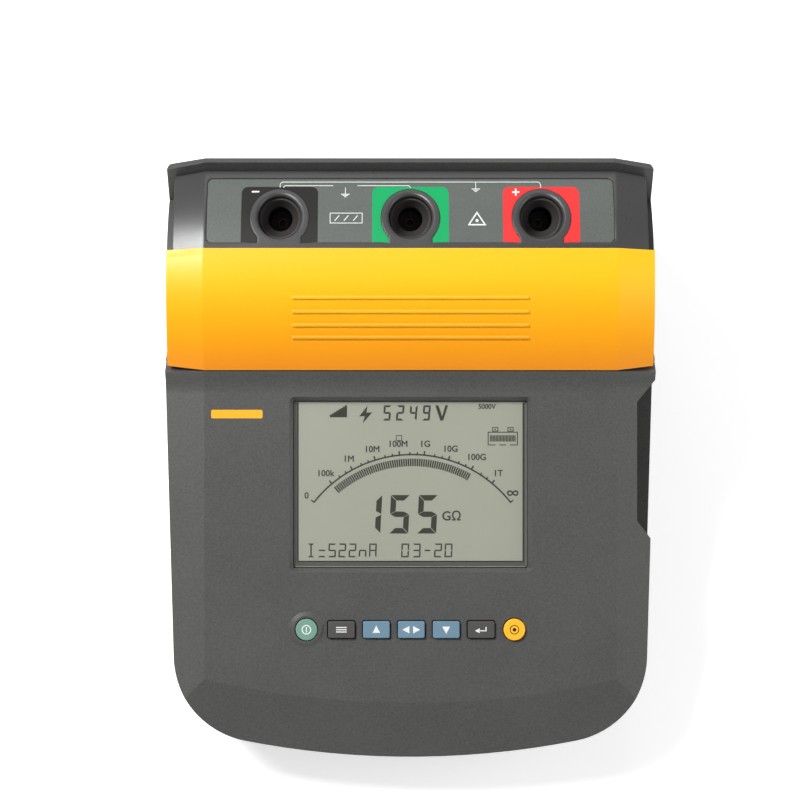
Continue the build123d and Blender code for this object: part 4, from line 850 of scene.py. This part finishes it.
def arch(start, end, foot, top, rounding, closed=True):
    """Loop of a line that rises at start and runs level to end, where a closed one comes down again."""
    half = LINE_STROKE / 2
    hand = 1 if end > start else -1
    outer, inner = [(start - hand * half, foot)], [(start + hand * half, foot)]

    def corner(from_end, way, angle):
        for loop, radius in ((outer, rounding + half), (inner, rounding - half)):
            aside = rounding - radius * cos(radians(angle))
            loop.append((from_end + way * aside, top - rounding + radius * sin(radians(angle))))

    for step in range(7):
        corner(start, hand, 15 * step)
    if closed:
        for step in range(7):
            corner(end, -hand, 90 - 15 * step)
        outer.append((end + hand * half, foot))
        inner.append((end - hand * half, foot))
    else:
        outer.append((end, top + half))
        inner.append((end, top - half))
    return outer + inner[::-1]


def circuit_lines(negative, guard, positive):
    """White lines between the terminals, with an earth symbol under each."""
    foot = PATCH_HIGH - 0.4
    wide_bend, tight_bend = 1.6, 1.2
    gap_start, gap_end = negative + 26, negative + 38
    shapes = [[arch(negative, positive, foot, EARTH_LINE_V, wide_bend)],
              [arch(negative + 1.7, gap_start, foot, GUARD_LINE_V, tight_bend, False)],
              [arch(guard, gap_end, foot, GUARD_LINE_V, tight_bend, False)]]
    shapes += earth_sign(negative + EARTH_OFFSET, GUARD_LINE_V - 1.0)
    shapes += earth_sign(guard + EARTH_OFFSET, EARTH_LINE_V - LINE_STROKE / 2)
    return shapes


def field_signs(negative, guard):
    """A box with three slanted strokes, and a triangle round a dot, between the terminals."""
    left, first, pitch, lean = negative + 24.6, negative + 27.0, 4.5, 2.2
    shapes = [frame_loops(left, left + 16.0, 261.6, 266.9, 0.35)]
    for count in range(3):
        low = first + count * pitch
        shapes.append([bar((low, 262.9), (low + lean, 265.6), 0.4)])
    centre, half, inner = guard + 32.5, 4.6, 3.4
    shapes.append([[(centre - half, 260.6), (centre + half, 260.6), (centre, 267.6)],
                   [(centre - inner, 261.3), (centre + inner, 261.3), (centre, 266.4)]])
    shapes.append([disc((centre, 263.0), 0.75)])
    return shapes


def pole_signs(negative, positive):
    """Minus and plus in the corners of their fields."""
    minus_v, plus_x, plus_v, half = 277.6, positive - 12.3, 277.4, 1.8
    return [[bar((negative - 13.8, minus_v), (negative - 10.1, minus_v), POLE_STROKE)],
            [bar((plus_x - half, plus_v), (plus_x + half, plus_v), POLE_STROKE)],
            [bar((plus_x, plus_v - half), (plus_x, plus_v + half), POLE_STROKE)]]


negative_x, guard_x, positive_x = (centres[name][0] for name in ("negative", "guard", "positive"))
label_signs = circuit_lines(negative_x, guard_x, positive_x)
label_signs += field_signs(negative_x, guard_x) + pole_signs(negative_x, positive_x)
printed("label_lines", "case", "ink_white", on_drum, label_signs, (), LABEL_ROWS,
        depth=2 * INK_DEPTH)


# ---------------------------------------------------------------- key legends


def power_sign():
    """Ring with a bar in its middle."""
    return [[disc((0, 0), 2.35), disc((0, 0), 1.85)], [bar((0, -1.35), (0, 1.35), SIGN_STROKE)]]


def arrow(x, v, size, turn):
    """Filled triangle that points up, turned by this angle."""
    tips = ((0, 0.6), (-0.55, -0.45), (0.55, -0.45))
    angle = radians(turn)
    turned = [(a * cos(angle) - b * sin(angle), a * sin(angle) + b * cos(angle)) for a, b in tips]
    return [[(x + size * a, v + size * b) for a, b in turned]]


def function_sign():
    """Three list bars."""
    return [[bar((-2.6, level), (2.6, level), SIGN_STROKE)] for level in (-1.1, 0, 1.1)]


def enter_sign():
    """Return arrow."""
    return [[bar((2.4, 1.4), (2.4, -0.2), SIGN_STROKE)],
            [bar((2.65, -0.5), (-1.2, -0.5), SIGN_STROKE)],
            arrow(-1.7, -0.5, 2.2, 90)]


def test_sign():
    """Start mark: a ring round a filled disc."""
    return [[disc((0, 0), 2.3), disc((0, 0), 1.9)], [disc((0, 0), 0.9)]]


# Each key's slot, the colour of its sign and the sign
LEGENDS = {
    "key_power": ("key_green", "ink_white", power_sign()),
    "key_function": ("key_grey", "ink_white", function_sign()),
    "key_up": ("key_blue", "ink_white", [arrow(0, 0, 3.4, 0)]),
    "key_left_right": ("key_blue", "ink_white", [arrow(-2.4, 0, 3.3, 90), arrow(2.4, 0, 3.3, 270)]),
    "key_down": ("key_blue", "ink_white", [arrow(0, 0, 3.4, 180)]),
    "key_enter": ("key_grey", "ink_white", enter_sign()),
    "key_test": ("key_amber", "ink_black", test_sign()),
}

for key, (slot, colour, shapes) in LEGENDS.items():
    place, top = middle(key)
    printed(key + "_legend", key, colour, on_panel(top), shapes, offset=place)


# ---------------------------------------------------------------- strip beside the display

printed("name_plate", "case", "ink_amber", on_panel(PANEL_W),
        [[rounded(*STRIP, STRIP_ROUNDING)]], depth=STRIP_DEPTH)


# ---------------------------------------------------------------- stage


def studio_floor():
    """Large pale table top under the feet."""
    mesh = bmesh.new()
    bmesh.ops.create_grid(mesh, x_segments=24, y_segments=24, size=FLOOR_SIZE)
    data = bpy.data.meshes.new("floor")
    mesh.to_mesh(data)
    mesh.free()
    data.materials.append(floor_acrylic())
    floor = bpy.data.objects.new("floor", data)
    bpy.context.scene.collection.objects.link(floor)
    return floor


studio_floor()


def soft_light(name, power, size, place, target):
    """Square softbox aimed at a point, both given in the case frame."""
    place, target = point(*place), point(*target)
    lamp = bpy.data.lights.new(name, "AREA")
    lamp.size = size
    lamp.energy = power
    holder = bpy.data.objects.new(name, lamp)
    bpy.context.scene.collection.objects.link(holder)
    holder.location = place
    holder.rotation_euler = (target - place).to_track_quat("-Z", "Y").to_euler()


soft_light("key_light", *KEY_LIGHT)
soft_light("fill_light", *FILL_LIGHT)
soft_light("side_light", *SIDE_LIGHT)
soft_light("rear_light", *REAR_LIGHT)

world = bpy.data.worlds.new("studio")
bpy.context.scene.world = world
world.use_nodes = True
background = world.node_tree.nodes["Background"]
background.inputs["Color"].default_value = WHITE
background.inputs["Strength"].default_value = SKY_STRENGTH

camera_data = bpy.data.cameras.new("camera")
camera_data.lens = CAMERA_LENS
camera_data.clip_end = CAMERA_REACH
camera = bpy.data.objects.new("camera", camera_data)
bpy.context.scene.collection.objects.link(camera)
camera_place = point(CAMERA_X, CAMERA_V, PANEL_W + CAMERA_DISTANCE / MM)
camera.matrix_world = Matrix.Translation(camera_place) @ Matrix((ACROSS, UP, OUT)).transposed().to_4x4()
bpy.context.scene.camera = camera
bpy.context.scene.view_settings.view_transform = "Standard"
